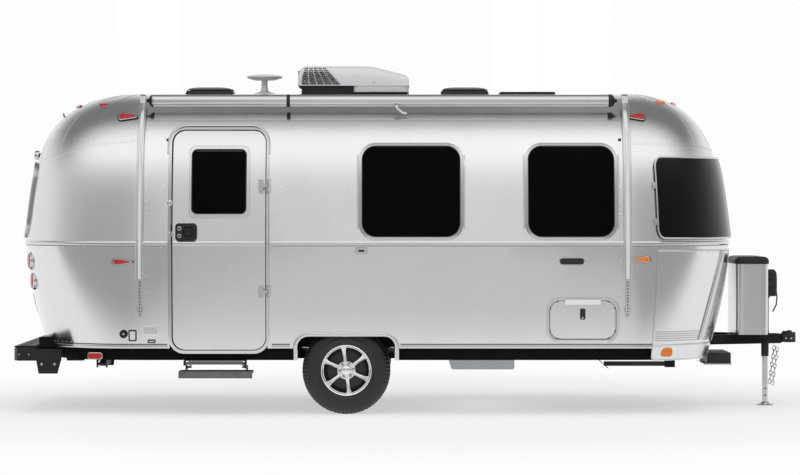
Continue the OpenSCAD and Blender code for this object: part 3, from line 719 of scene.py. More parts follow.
@dataclass(frozen=True)
class Glow(Finish):
    """A lamp lens, which lights a little from within."""

    def material(self) -> bpy.types.Material:
        """The lens's material, with some light let through."""
        made = super().material()
        shader = next(n for n in made.node_tree.nodes if n.type == "BSDF_PRINCIPLED")
        shader.inputs["Subsurface Weight"].default_value = 0.25
        shader.inputs["Subsurface Radius"].default_value = (0.01, 0.004, 0.002)
        return made


SHEET = Finish("polished_sheet", "bright_skin", shade(0.70, 0.018), shade(0.64, 0.024), 1.0, 0.16,
               0.06,
               26.0, (1.0, 1.0, 14.0), 0.00003, 0.35, 0.08, 0.1)
CAP_SHEET = Finish("polished_cap_sheet", "bright_skin", shade(0.70, 0.012), shade(0.64, 0.02), 1.0,
                   0.20,
                   0.08, 26.0, (1.0, 1.0, 10.0), 0.00003, 0.35, 0.08, 0.1)
DOOR_SHEET = Finish("polished_door_sheet", "door_skin", shade(0.70, 0.014), shade(0.64, 0.02), 1.0,
                    0.25,
                    0.10, 28.0, (1.0, 1.0, 14.0), 0.00001, 0.35, 0.06, 0.1)
TRIM = Finish("bright_trim", "bright_trim", shade(0.60, 0.01), shade(0.52, 0.01), 1.0, 0.20, 0.12,
              40.0,
              (1.0, 1.0, 4.0), 0.00003, 0.3, 0.06, 0.2)
# Painted highlight: the wall rivets' heads are a lighter, glossier copy of the sheet's aluminium,
# so that they show as the bright glints their domes catch.
RIVET_GLINT = Finish("rivet_heads_painted_glint", "bright_trim", shade(0.85, 0.01), shade(0.7, 0.01), 1.0, 0.12, 0.05,
               60.0,
               relief=0.00002, mottle=0.2)
LINER = Finish("cabin_liner", "bright_skin", shade(0.62, 0.0), shade(0.50, 0.0), 0.0, 0.6, 0.1,
               80.0,
               relief=0.0002)
# Dark finish for the real seals and gaskets. It is also painted shadow: the dark lines under the
# belt rail and over the sill trim, and the dark ring round the storage hatch's lid.
SHADOW_SEAL = Finish("dark_seal_and_painted_shadow", "black_plastic", shade(0.018), shade(0.035), 0.0, 0.65, 0.1, 90.0,
                     relief=0.0002, dust=0.1)
GLASS = Finish("tinted_glass", "dark_glass", shade(0.0025), shade(0.004), 0.0, 0.05, 0.05, 12.0,
               relief=0.0, mottle=0.2, edges=0.0, specular=0.01)
SHIELD_GLASS = Finish("shield_glass", "dark_glass", shade(0.001), shade(0.002), 0.0, 0.07, 0.05,
                      12.0, relief=0.0, mottle=0.2, edges=0.0, specular=0.20)
BLACK = Finish("moulded_black", "black_plastic", shade(0.02), shade(0.05), 0.0, 0.42, 0.12, 160.0,
               relief=0.0002, dust=0.04, edges=0.4, specular=0.15)
WHITE = Finish("moulded_white", "white_plastic", (0.62, 0.63, 0.65), (0.55, 0.55, 0.55), 0.0, 0.38,
               0.1,
               140.0, relief=0.0001, mottle=0.5, dust=0.18)
OFF_WHITE = Finish("painted_white_metal", "white_plastic", (0.70, 0.70, 0.69), (0.55, 0.54, 0.52),
                   0.0,
                   0.32, 0.1, 60.0, relief=0.0001, mottle=0.5, dust=0.15, coat=0.2)
# Painted shade: the belly pan's side is drawn near-black and almost without gloss, darker than its
# bare metal, to stand for the shade under the body's edge.
SKIRT_PAINTED_SHADE = Finish("skirt_painted_shade", "dark_pan", shade(0.004), shade(0.009), 0.0, 0.5, 0.15, 30.0,
               relief=0.0005,
               mottle=0.6, dust=0.01, specular=0.04)
STEEL = Finish("black_steel", "black_steel", shade(0.006), shade(0.02), 0.1, 0.48, 0.16, 70.0,
               relief=0.0003, mottle=0.7, dust=0.03, edges=0.5, specular=0.08)
LEG_STEEL = Finish("leg_powder_coat", "leg_steel", shade(0.02), shade(0.06), 0.2, 0.5, 0.16, 90.0,
                   relief=0.0003, mottle=0.7, dust=0.1, edges=0.9, specular=0.15)
BUMPER = Finish("bumper_metal", "bumper_metal", shade(0.012), shade(0.04), 0.3, 0.42, 0.16, 60.0,
                relief=0.0003, mottle=0.6, dust=0.04, edges=0.05, specular=0.2)
ZINC = Finish("bright_zinc", "zinc", shade(0.62, 0.02), (0.44, 0.42, 0.38), 1.0, 0.36, 0.2, 50.0,
              relief=0.0002, mottle=0.8, dust=0.1, edges=0.6)
RUBBER = Finish("tyre_rubber", "tyre", shade(0.008), shade(0.016), 0.0, 0.42, 0.16, 120.0,
                relief=0.0003, mottle=0.6, dust=0.10, edges=0.8, specular=0.5)
ALLOY = Finish("machined_alloy", "machined_alloy", shade(0.78, 0.01), shade(0.6, 0.01), 1.0, 0.2,
               0.12,
               70.0, relief=0.00005, mottle=0.4, edges=0.2)
# Dark pocket paint for the spokes' flanks and small dark parts. On the wheels it is also painted
# shade: the rim's inner barrel and the closed disc behind the spokes are dark to stand for the
# shaded brake parts inside the wheel.
POCKET_PAINT_AND_SHADE = Finish("pocket_paint_and_painted_shade", "machined_alloy", shade(0.012), shade(0.03), 0.2, 0.35, 0.1, 80.0,
                relief=0.0001, dust=0.1)
# Painted light: the tank's grey is made lighter than its own, to make up for the shade it sits in
# under the body.
TANK_WITH_PAINTED_LIGHT = Finish("grey_tank", "grey_tank", (0.70, 0.74, 0.79), (0.60, 0.64, 0.68), 0.0, 0.5, 0.12,
              40.0,
              relief=0.0003, mottle=0.6, dust=0.1)
PLYWOOD = Finish("floor_plywood", "plywood", (0.42, 0.29, 0.17), (0.28, 0.18, 0.10), 0.0, 0.6, 0.15,
                 22.0,
                 (0.6, 12.0, 4.0), 0.0004, 0.9, 0.1)
SMOKED = Finish("smoked_dome", "smoked_plastic", shade(0.03), shade(0.06), 0.0, 0.14, 0.06, 60.0,
                relief=0.0001, dust=0.25, coat=0.4)
GRIT = Finish("gritted_tread", "step_steel", shade(0.03), shade(0.10), 0.1, 0.8, 0.1, 420.0,
              relief=0.0012, mottle=0.8, dust=0.2)
STEP_STEEL = Finish("step_steel", "step_steel", shade(0.10), shade(0.2), 0.6, 0.4, 0.2, 60.0,
                    relief=0.0002, mottle=0.7, dust=0.2, edges=0.9)
RED_LENS = Glow("red_lens", "lamp_lens", (0.42, 0.012, 0.012), (0.30, 0.01, 0.01), 0.0, 0.12, 0.05,
                8.0,
                (40.0, 4.0, 4.0), 0.0006, 0.2, coat=0.6)
AMBER_LENS = Glow("amber_lens", "lamp_lens", (0.75, 0.20, 0.02), (0.6, 0.14, 0.02), 0.0, 0.12, 0.05,
                  8.0,
                  (40.0, 4.0, 4.0), 0.0006, 0.2, coat=0.6)


# ---- Studio ----


class Tones:
    """Small sums of tones in a node tree, from the parts of one vector."""

    def __init__(self, tree: bpy.types.NodeTree) -> None:
        """Takes the tree and splits the vector that will be linked to it."""
        self.nodes, self.link = tree.nodes, tree.links.new
        self.split = self.nodes.new("ShaderNodeSeparateXYZ")

    def feed(self, socket: bpy.types.NodeSocket, value: object) -> None:
        """Gives a socket a number or the value of another socket."""
        if isinstance(value, bpy.types.NodeSocket):
            self.link(value, socket)
        else:
            socket.default_value = value

    def rise(self, of: object, low: float, high: float) -> bpy.types.NodeSocket:
        """A smooth step of an axis, or of a socket's value, from 0 at low to 1 at high."""
        node = self.nodes.new("ShaderNodeMapRange")
        node.interpolation_type = "SMOOTHSTEP"
        node.inputs["From Min"].default_value, node.inputs["From Max"].default_value = low, high
        self.link(self.split.outputs[of] if isinstance(of, str) else of, node.inputs["Value"])
        return node.outputs["Result"]

    def blend(self, share: object, a: object, b: object) -> bpy.types.NodeSocket:
        """A mix of two tones, each a number or a socket."""
        node = self.nodes.new("ShaderNodeMix")
        self.link(share, node.inputs["Factor"])
        self.feed(node.inputs["A"], a)
        self.feed(node.inputs["B"], b)
        return node.outputs["Result"]

    def maths(self, kind: str, *values: object) -> bpy.types.NodeSocket:
        """A sum of numbers or sockets."""
        node = self.nodes.new("ShaderNodeMath")
        node.operation = kind
        for socket, value in zip(node.inputs, values):
            self.feed(socket, value)
        return node.outputs["Value"]

    def both(self, axis: str, a: float, b: float, c: float, d: float) -> bpy.types.NodeSocket:
        """A band along an axis that rises from a to b and falls again from c to d."""
        up, down = self.rise(axis, a, b), self.rise(axis, d, c)
        return self.maths("MULTIPLY", up, down)


@dataclass(frozen=True)
class Studio:
    """A pale floor, soft lights and the camera's viewpoint."""

    eye: Point = (-0.095, -24.28, 1.694)
    pitch_deg: float = 0.615
    turn_deg: float = 0.0
    lens: float = 127.8
    floor_half: float = 180.0
    fade: tuple[float, float] = (3.2, 6.0)
    front_tone: float = 0.88
    front_dark: float = 0.42
    centre_x: tuple[float, float, float, float] = (-0.108, -0.040, 0.066, 0.092)
    mirror_tone: float = 0.74
    mirror_dark: float = 0.42
    mirror_x: tuple[float, float, float, float] = (-3.0, -1.9, 2.1, 2.8)
    upper_tone: float = 1.25
    ceiling_tone: float = 0.24
    strips: tuple[Point, ...] = ((0.062, 0.014, 0.30), (0.040, 0.009, 0.16), (-0.088, 0.012, 0.22))
    low_y: Flat = (-0.85, 0.45)
    high_y: Flat = (-0.60, 0.32)
    horizon: Flat = (0.16, 0.62)
    paper_y: Flat = (-5.2, -2.4)
    lights: tuple[tuple[str, Point, Point, Flat, float], ...] = (
        ("overhead", (0, -1.0, 11.0), (0, 0, 0), (13.0, 5.0), 330.0),
        ("front", (-2.0, -13.0, 9.5), (0, 0, 1.2), (11.0, 3.0), 130.0),
        ("back", (3.0, 13.0, 8.5), (0, 0, 1.2), (12.0, 4.0), 160.0),
    )

    def build(self) -> None:
        """Makes the floor, the lights, the surroundings and the camera."""
        self.floor()
        self.surroundings()
        for light in self.lights:
            self.soft_light(*light)
        self.camera()

    def floor(self) -> None:
        """A wide plain floor."""
        draft = Draft()
        h = self.floor_half
        draft.patch([[(-h, -h, 0), (h, -h, 0)], [(-h, h, 0), (h, h, 0)]])
        mesh = bpy.data.meshes.new("studio_floor")
        mesh.from_pydata(draft.points, [], draft.faces)
        mesh.materials.append(self.paper())
        floor = bpy.data.objects.new("studio_floor", mesh)
        bpy.context.scene.collection.objects.link(floor)

    def paper(self) -> bpy.types.Material:
        """White paper that fades into the surroundings and is softer in the metal's mirror."""
        paper = bpy.data.materials.new("studio_paper")
        paper.use_nodes = True
        tones = Tones(paper.node_tree)
        nodes, link = tones.nodes, tones.link
        base = next(n for n in nodes if n.type == "BSDF_PRINCIPLED")
        base.inputs["Base Color"].default_value = (*shade(0.90), 1)
        base.inputs["Roughness"].default_value = 0.85
        base.inputs["Specular IOR Level"].default_value = 0.1
        spot, reach = nodes.new("ShaderNodeNewGeometry"), nodes.new("ShaderNodeVectorMath")
        reach.operation = "LENGTH"
        link(spot.outputs["Position"], tones.split.inputs["Vector"])
        link(spot.outputs["Position"], reach.inputs[0])
        far = tones.rise(reach.outputs["Value"], *self.fade)
        mixed = self.cover(tones, tones.blend(far, 0.55, 1.0), base.outputs["BSDF"], 0.985)
        away = tones.blend(tones.both("X", *self.mirror_x), self.mirror_dark, self.mirror_tone)
        near = tones.blend(tones.rise("Y", *self.paper_y), away, 1.05)
        path = nodes.new("ShaderNodeLightPath")
        mixed = self.cover(tones, path.outputs["Is Glossy Ray"], mixed, near)
        out = next(n for n in nodes if n.type == "OUTPUT_MATERIAL")
        link(mixed, out.inputs["Surface"])
        return paper

    def cover(self, tones: "Tones", share: object, shader: object,
              tone: object) -> bpy.types.NodeSocket:
        """A mix of a shader with a plain glow.

        Args:
            tones: The tree's helper.
            share: How much of the glow shows, a socket.
            shader: The shader below, a socket.
            tone: The glow's tone, a number or a socket.

        Returns:
            The mixed shader's socket.
        """
        glow, mix = tones.nodes.new("ShaderNodeEmission"), tones.nodes.new("ShaderNodeMixShader")
        if isinstance(tone, bpy.types.NodeSocket):
            tones.link(tone, glow.inputs["Color"])
        else:
            glow.inputs["Color"].default_value = (tone, tone, tone, 1)
        tones.link(share, mix.inputs["Fac"])
        tones.link(shader, mix.inputs[1])
        tones.link(glow.outputs["Emission"], mix.inputs[2])
        return mix.outputs["Shader"]

    def surroundings(self) -> None:
        """A studio for the metal to mirror: pale walls, a grey front and a dark ceiling."""
        world = bpy.data.worlds.new("studio")
        bpy.context.scene.world = world
        world.use_nodes = True
        tones = Tones(world.node_tree)
        place = tones.nodes.new("ShaderNodeTexCoord")
        tones.link(place.outputs["Generated"], tones.split.inputs["Vector"])
        ahead = tones.blend(tones.both("X", *self.centre_x), self.front_dark, self.front_tone)
        low = tones.blend(tones.rise("Y", *self.low_y), ahead, 0.985)
        high = tones.blend(tones.rise("Y", *self.high_y), self.upper_tone, self.ceiling_tone)
        tone = tones.blend(tones.rise("Z", *self.horizon), low, high)
        for middle, half, extra in self.strips:
            strip = tones.both("X", middle - half, middle, middle, middle + half)
            tone = tones.maths("MULTIPLY_ADD", strip, extra, tone)
        back = next(n for n in tones.nodes if n.type == "BACKGROUND")
        tones.link(tone, back.inputs["Color"])

    def soft_light(self, name: str, at: Point, aim: Point, size: tuple[float, float],
                   watts: float) -> None:
        """Hangs a large soft light.

        Args:
            name: The light's name.
            at: Where it hangs.
            aim: Where it points.
            size: Its width and height.
            watts: Its power.
        """
        light = bpy.data.lights.new(name, "AREA")
        light.shape = "RECTANGLE"
        light.size, light.size_y = size
        light.energy = watts
        lamp = bpy.data.objects.new(name, light)
        lamp.location = at
        lamp.visible_glossy = False
        lamp.rotation_euler = (Vector(aim) - Vector(at)).to_track_quat("-Z", "Y").to_euler()
        bpy.context.scene.collection.objects.link(lamp)

    def camera(self) -> None:
        """Sets the camera square to the kerb side, at standing height."""
        view = bpy.data.cameras.new("viewpoint")
        view.lens = self.lens
        view.sensor_width = 36.0
        view.clip_end = 400.0
        eye = bpy.data.objects.new("viewpoint", view)
        eye.location = self.eye
        eye.rotation_euler = (math.radians(90 - self.pitch_deg), 0, math.radians(self.turn_deg))
        bpy.context.scene.collection.objects.link(eye)
        bpy.context.scene.camera = eye
        bpy.context.scene.view_settings.view_transform = "Standard"


# ---- Body shell ----

HATCH = Opening(1.127, 1.657, 0.623, 0.927, 0.085)


def ripple(at: Point) -> float:
    """The slight waviness of a stretched thin sheet at a place on it."""
    u, v = at[0] + 0.7 * at[1], at[1] + at[2]
    broad = math.sin(7.1 * u + 1.3) * math.sin(5.3 * v + 0.7)
    close = math.sin(13.7 * u + 4.1 * v + 2.1) + math.sin(9.3 * v - 11.9 * u + 0.4)
    return 0.00045 * broad + 0.00022 * close


@dataclass
class BodyShell:
    """The riveted sheets of the walls, the roof and the two ends, with the cabin's lining."""

    cell: float = 0.024
    angle_cell: float = 1.5
    under_frame: float = 0.010
    arch: Opening = Opening(-0.942, -0.125, 0.2, 0.649, 0.100)
    vents: tuple[str, ...] = ("rear_vent_lid", "front_vent_lid")
    eave_z: float = 0.0
    door: Opening = field(init=False)
    hatch: Opening = field(init=False)

    def __post_init__(self) -> None:
        """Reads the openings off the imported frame."""
        low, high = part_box("door_frame")
        inset = self.under_frame
        self.door = Opening(low.x + inset, high.x - inset, 0.2, high.z - inset, 0.12)
        low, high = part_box("storage_hatch")
        self.hatch = Opening(low.x, high.x, HATCH.low_v, HATCH.high_v, HATCH.radius)
        self.eave_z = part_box("kerb_wall_upper")[1].z

    def build(self) -> None:
        """Builds every sheet of the shell."""
        for side in Side:
            self.wall(side, upper=False)
            self.wall(side, upper=True)
        self.roof()
        for end in End:
            self.end_lower(end)
            self.end_upper(end)

    def wall(self, side: Side, upper: bool) -> None:
        """One long side, above or below the belt.

        Args:
            side: Which side.
            upper: Whether it is the part above the belt.
        """
        word = "kerb" if side is Side.KERB else "street"
        openings = [Opening(*w, r) for w, r in side_windows(side)] if upper else [self.arch]
        if side is Side.KERB:
            openings.append(self.door)
            if not upper:
                openings.append(self.hatch)
        marks_x = [x for o in openings for x in (o.low_u, o.high_u)]
        marks_z = [z for o in openings for z in (o.low_v, o.high_v)]
        low, high = (FORM.belt, self.eave_z) if upper else (FORM.sill, FORM.belt)
        xs = spread(FORM.rear_seam, FORM.front_seam, self.cell, marks_x)
        zs = spread(low, high, self.cell, marks_z)
        self.sheets(
            f"{word}_{'upper' if upper else 'lower'}_sheet", FORM.side_place(side), xs, zs,
            openings,
            SHEET, flip=side is Side.STREET,
            replaces=f"{word}_wall_{'upper' if upper else 'lower'}",
        )

    def sheets(
        self, name: str, place: Place, us: Sequence[float], vs: Sequence[float],
        openings: Sequence[Opening], finish: Finish, flip: bool, replaces: str,
        extra: Callable[[float, float], bool] | None = None, thick: float | None = None,
    ) -> None:
        """Builds an outer sheet and an inner lining with the same openings.

        Args:
            name: The piece's name.
            place: The surface.
            us: Grid lines in the surface's first direction.
            vs: Grid lines in its second direction.
            openings: The openings to leave.
            finish: The finish of the outer sheet.
            flip: Whether the outer sheet's faces look the other way.
            replaces: The CAD node it stands for.
            extra: Says of a place whether it is open as well.
            thick: The distance between the two sheets.
        """
        thick = FORM.wall if thick is None else thick

        def keep(i: int, j: int) -> bool:
            """Whether the grid's face is outside every opening."""
            u, v = (us[j] + us[j + 1]) / 2, (vs[i] + vs[i + 1]) / 2
            return not any(o.holds(u, v) for o in openings) and not (extra and extra(u, v))

        draft = Draft()
        outer = draft.patch([[place(u, v, ripple(place(u, v, 0))) for u in us] for v in vs], 0,
                            flip=flip, keep=keep)
        inner = draft.patch([[place(u, v, -thick) for u in us] for v in vs], 1, flip=not flip,
                            keep=keep)
        for i in range(len(vs) - 1):
            for j in range(len(us) - 1):
                if not keep(i, j):
                    continue
                sides = (
                    (i == 0 or not keep(i - 1, j), (i, j), (i, j + 1)),
                    (i == len(vs) - 2 or not keep(i + 1, j), (i + 1, j + 1), (i + 1, j)),
                    (j == 0 or not keep(i, j - 1), (i + 1, j), (i, j)),
                    (j == len(us) - 2 or not keep(i, j + 1), (i, j + 1), (i + 1, j + 1)),
                )
                for is_open, a, b in sides:
                    if is_open:
                        four = [outer[b[0]][b[1]], outer[a[0]][a[1]], inner[a[0]][a[1]],
                                inner[b[0]][b[1]]]
                        draft.face(four[::-1] if flip else four, 1)
        draft.make(name, "body", [finish, LINER], [replaces], sharp=40)

    def roof(self) -> None:
        """The roof between the two seams, open under the two vents."""
        eave = FORM.level(self.eave_z)
        count = 34
        levels = [1 - (1 - eave) * (1 - i / count) ** 1.8 for i in range(count + 1)]
        rows = [(Side.KERB, level) for level in levels] + [(Side.STREET, level)
                                                           for level in levels[-2::-1]]
        boxes = [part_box(v) for v in self.vents]
        xs = spread(FORM.rear_seam, FORM.front_seam, self.cell * 1.5,
                    [x for low, high in boxes for x in (low.x + 0.006, high.x - 0.006)])

        def place(x: float, index: float, off: float) -> Point:
            """A point of the roof by its row."""
            side, level = rows[round(index)]
            return (x, side.value * FORM.half_width(level, off), FORM.height(level, off))

        def vented(x: float, index: float) -> bool:
            """Whether a place is under a vent."""
            y = abs(place(x, math.floor(index), 0)[1] + place(x, math.ceil(index), 0)[1]) / 2
            return any(low.x + 0.005 < x < high.x - 0.005 and y < high.y - 0.005
                       for low, high in boxes)

        self.sheets("roof_sheet", place, xs, list(range(len(rows))), [], SHEET, False, "roof_shell",
                    vented)

    def end_lower(self, end: End) -> None:
        """The part of an end below the belt."""
        angles = [i * self.angle_cell for i in range(round(180 / self.angle_cell) + 1)]
        zs = spread(FORM.sill, FORM.belt, self.cell * 1.3)
        drawbar_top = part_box("drawbar")[1].z + 0.012
        half = 0.46

        def notched(angle: float, z: float) -> bool:
            """Whether a place is where the drawbar comes through."""
            return end is End.FRONT and z < drawbar_top and abs(
                FORM.on_end(end, angle, z)[1]) < half

        word = end.name.lower()
        self.sheets(f"{word}_lower_end_sheet", FORM.end_place(end), angles, zs, [], CAP_SHEET,
                    flip=end is End.FRONT, replaces=f"{word}_cap_lower", extra=notched)

    def end_upper(self, end: End) -> None:
        """The domed part of an end above the belt, closed at the crown."""
        angles = [i * self.angle_cell for i in range(round(180 / self.angle_cell) + 1)]
        count = 56
        levels = [1 - (1 - i / count) ** 1.7 for i in range(count)] + [0.99995]
        zs = [FORM.height(level) for level in levels]
        zs[0] = FORM.belt

        def open_at(angle: float, z: float) -> bool:
            """Whether a place is in one of the end's windows."""
            if end is End.REAR:
                return REAR_WINDOW.holds(FORM.on_end(end, angle, z)[1], z)
            return any(o.holds(angle, z) for o in FRONT_WINDOWS)

        word = end.name.lower()
        self.sheets(f"{word}_upper_end_sheet", FORM.end_place(end), angles, zs, [], CAP_SHEET,
                    flip=end is End.FRONT, replaces=f"{word}_cap_upper", extra=open_at)


def side_windows(side: Side) -> list[tuple[tuple[float, float, float, float], float]]:
    """The outlines of a long side's windows.

    Args:
        side: Which side.

    Returns:
        For each window its outline and its corner radius.
    """
    spans = [(-0.412, 0.402), (0.941, 1.656)]
    if side is Side.STREET:
        spans.append((-1.812, -0.998))
    return [((a, b, 1.444, 2.195), 0.120) for a, b in spans]


REAR_WINDOW = Opening(-0.470, 0.470, 1.462, 2.035, 0.120)
DEGREE_PER_METRE = 40.0
FRONT_WINDOWS = (
    Opening(14, 70, 1.437, 2.083, 0.03, DEGREE_PER_METRE),
    Opening(110, 166, 1.437, 2.083, 0.03, DEGREE_PER_METRE),
    Opening(78, 102, 1.437, 2.083, 0.03, DEGREE_PER_METRE),
)


@dataclass
class Mouldings:
    """The belt rail, the lower trim and the riveted laps that run round the body."""

    rail_half: float = 0.017
    rail_out: float = 0.008
    trim_low: float = 0.543
    trim_high: float = 0.572
    arch_foot: float = 0.445
    rear_lap: Flat = (2.245, 0.20)
    front_lap: Flat = (2.222, 0.055)
    rivet_columns: tuple[float, ...] = (-2.02, -1.056, -0.545, -0.026, 0.439, 0.870, 1.70)
    lower_rivets: tuple[float, ...] = (0.640, 0.728, 0.860, 0.996, 1.130, 1.255)
    upper_rivets: tuple[float, ...] = (1.50, 1.637, 1.745, 1.860, 1.955, 2.055, 2.150, 2.250, 2.33)
    rail_rivets: Flat = (0.588, FORM.belt - 0.030)

    def build(self) -> None:
        """Builds the rails, the laps and the rows of rivets."""
        self.girdle_strip("belt_rail", FORM.belt, [
            (-self.rail_half, 0.0006), (-self.rail_half, 0.004),
            (-self.rail_half * 0.5, self.rail_out),
            (self.rail_half * 0.5, self.rail_out), (self.rail_half, 0.004),
            (self.rail_half, 0.0006),
        ], arch=False)
        self.girdle_strip("sill_trim", self.trim_low, [
            (0.0, -0.004), (0.0, 0.007), (0.014, 0.009), (0.022, 0.007), (0.024, 0.002),
            (0.030, 0.0015),
            (0.030, 0.0005),
        ], arch=True)
        # Painted shadow: thin dark strips just under the belt rail and just above the sill trim
        # stand in for the shade these rails cast on the skin.
        self.girdle_strip("belt_shadow", FORM.belt, [(-self.rail_half - 0.005, 0.0012),
                                                     (-self.rail_half, 0.0014)],
                          arch=False, finish=SHADOW_SEAL)
        self.girdle_strip("sill_shadow", self.trim_high, [(0.001, 0.0012), (0.008, 0.0012)],
                          arch=True, finish=SHADOW_SEAL)
        self.arch_trims()
        self.cap_laps()
        self.wall_rivets()

    def arch_trims(self) -> None:
        """The bright moulding round each wheel's opening, down to the bottom of the skirt."""
        draft = Draft()
        arch, foot = BodyShell().arch, self.arch_foot
        for side in Side:
            place = FORM.side_place(side)
            runs = [(arch.loop(grow, 10, 12), off) for grow, off in (
                (-0.012, -0.040), (-0.012, 0.004), (-0.004, 0.012), (0.012, 0.013), (0.021, 0.008),
                (0.024, 0.0006))]
            rows = [[place(u, max(v, foot), off) for u, v in run] for run, off in runs]
            low = [v <= foot for _, v in runs[0][0]]
            draft.patch(rows, 0, closed=True, flip=side is Side.STREET,
                        keep=lambda i, j: not (low[j] and low[(j + 1) % len(low)]))
        draft.make("arch_trims", "body", [TRIM], sharp=45)

    def girdle_strip(
        self, name: str, z: float, profile: Sequence[Flat], arch: bool,
        finish: "Finish | None" = None,
    ) -> None:
        """A strip round the whole body, left out at the door and over the wheels.

        Args:
            name: The piece's name.
            z: Its height.
            profile: Pairs of a height above z and a distance off the skin.
            arch: Whether the wheel arches interrupt it.
            finish: Its finish, the bright trim unless it is given.
        """
        door_low, door_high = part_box("door_frame")
        rows = [FORM.girdle(z + dz, off) for dz, off in profile]
        count = len(rows[0])

        def cut(p: Point) -> bool:
            """Whether the strip is interrupted at a point."""
            on_side = FORM.rear_seam < p[0] < FORM.front_seam
            by_door = on_side and p[1] < 0 and door_low.x < p[0] < door_high.x
            return by_door or (arch and on_side and -0.965 < p[0] < -0.10)

        draft = Draft()
        draft.patch(rows, 0, closed=True, flip=False,
                    keep=lambda i, j: not cut(rows[0][j]) and not cut(rows[0][(j + 1) % count]))
        draft.make(name, "body", [finish or TRIM], sharp=50)

    def lap_height(self, end: End, angle: float) -> float:
        """The height of the lap that crosses an end, highest at the sides."""
        across = math.sin(math.radians(angle))
        high, fall = self.rear_lap if end is End.REAR else self.front_lap
        return high - fall * across**1.6

    def cap_laps(self) -> None:
        """The curved laps of the end panels, with close rivets."""
        for end in End:
            place = FORM.end_place(end)
            draft = Draft()
            angles = [2.0 + 176 * i / 110 for i in range(111)]
            rows = []
            for dz, off in ((-0.017, 0.0002), (-0.016, 0.0016), (0.016, 0.0016), (0.017, 0.0002)):
                rows.append([place(a, self.lap_height(end, a) + dz, off) for a in angles])
            draft.patch(rows, 0, flip=end is End.FRONT)
            spots = [(a, self.lap_height(end, a)) for a in (3.0 + 174 * i / 76 for i in range(77))]
            draft.rivets(place, spots, 0.0016, 0.0042)
            ribs = [22.0, 45.0, 68.0, 90.0, 112.0, 135.0, 158.0]
            for rib in ribs:
                self.rib(draft, end, rib, self.lap_height(end, rib), FORM.height(0.992))
            for rib in (38.0, 90.0, 142.0) if end is End.REAR else ():
                self.rib(draft, end, rib, FORM.belt + 0.02, 1.43)
            draft.make(f"{end.name.lower()}_end_laps", "body", [CAP_SHEET])

    def rib(self, draft: Draft, end: End, angle: float, low: float, high: float) -> None:
        """A lap that runs up an end panel towards the crown.

        Args:
            draft: The draft to add to.
            end: Which end.
            angle: Its place round the end.
            low: Its lower end.
            high: Its upper end.
        """
        place = FORM.end_place(end)
        count = 40
        zs = [low + (high - low) * (1 - (1 - i / count) ** 1.7) for i in range(count + 1)]
        rows = []
        for side, off in ((-1.0, 0.0002), (-0.92, 0.0015), (0.92, 0.0015), (1.0, 0.0002)):
            row = []
            for z in zs:
                width = 0.013 / max(0.25, FORM.half_width(FORM.level(z)))
                row.append(place(angle + side * math.degrees(width), z, off))
            rows.append(row)
        draft.patch(rows, 0, flip=end is End.REAR)
        run = 0.0
        for a, b in zip(zs, zs[1:]):
            run += math.dist(place(angle, a, 0), place(angle, b, 0))
            if run > 0.05:
                run = 0.0
                draft.rivet(place(angle, b, 0.0015), normal_of(place, angle, b), 0.004)

    def wall_rivets(self) -> None:
        """The sparse rivets that hold the walls to their ribs, and the rows beside the rails."""
        draft = Draft()
        lower, upper = self.lower_rivets, self.upper_rivets
        shell = BodyShell()
        for side in Side:
            place = FORM.side_place(side)
            openings = [Opening(*w, r).grown(0.035) for w, r in side_windows(side)]
            openings.append(shell.arch.grown(0.04))
            if side is Side.KERB:
                openings += [shell.door.grown(0.03), shell.hatch.grown(0.04)]
            spots = [(x, z) for x in self.rivet_columns for z in lower[1::2] + upper[1::2]]
            spots += [(x, z) for x in (FORM.rear_seam + 0.03, FORM.front_seam - 0.06)
                      for z in lower + upper]
            spots += [(x, z) for x in spread(FORM.rear_seam + 0.05, FORM.front_seam - 0.05, 0.105)
                      for z in self.rail_rivets]
            spots = [s for s in spots if not any(o.holds(*s) for o in openings)]
            draft.rivets(place, spots, 0.0, 0.0062)
        for end in End:
            place = FORM.end_place(end)
            for z in self.rail_rivets:
                draft.rivets(place, [(a, z) for a in (3 + 4.0 * i for i in range(44))
                                     if z > 0.7 or end is End.REAR or abs(a - 90) > 25], 0.0,
                             0.0046)
        # The wall rivets take the lighter rivet finish, a painted highlight for the glints on their
        # heads.
        draft.make("wall_rivets", "body", [RIVET_GLINT])


# ---- Windows ----


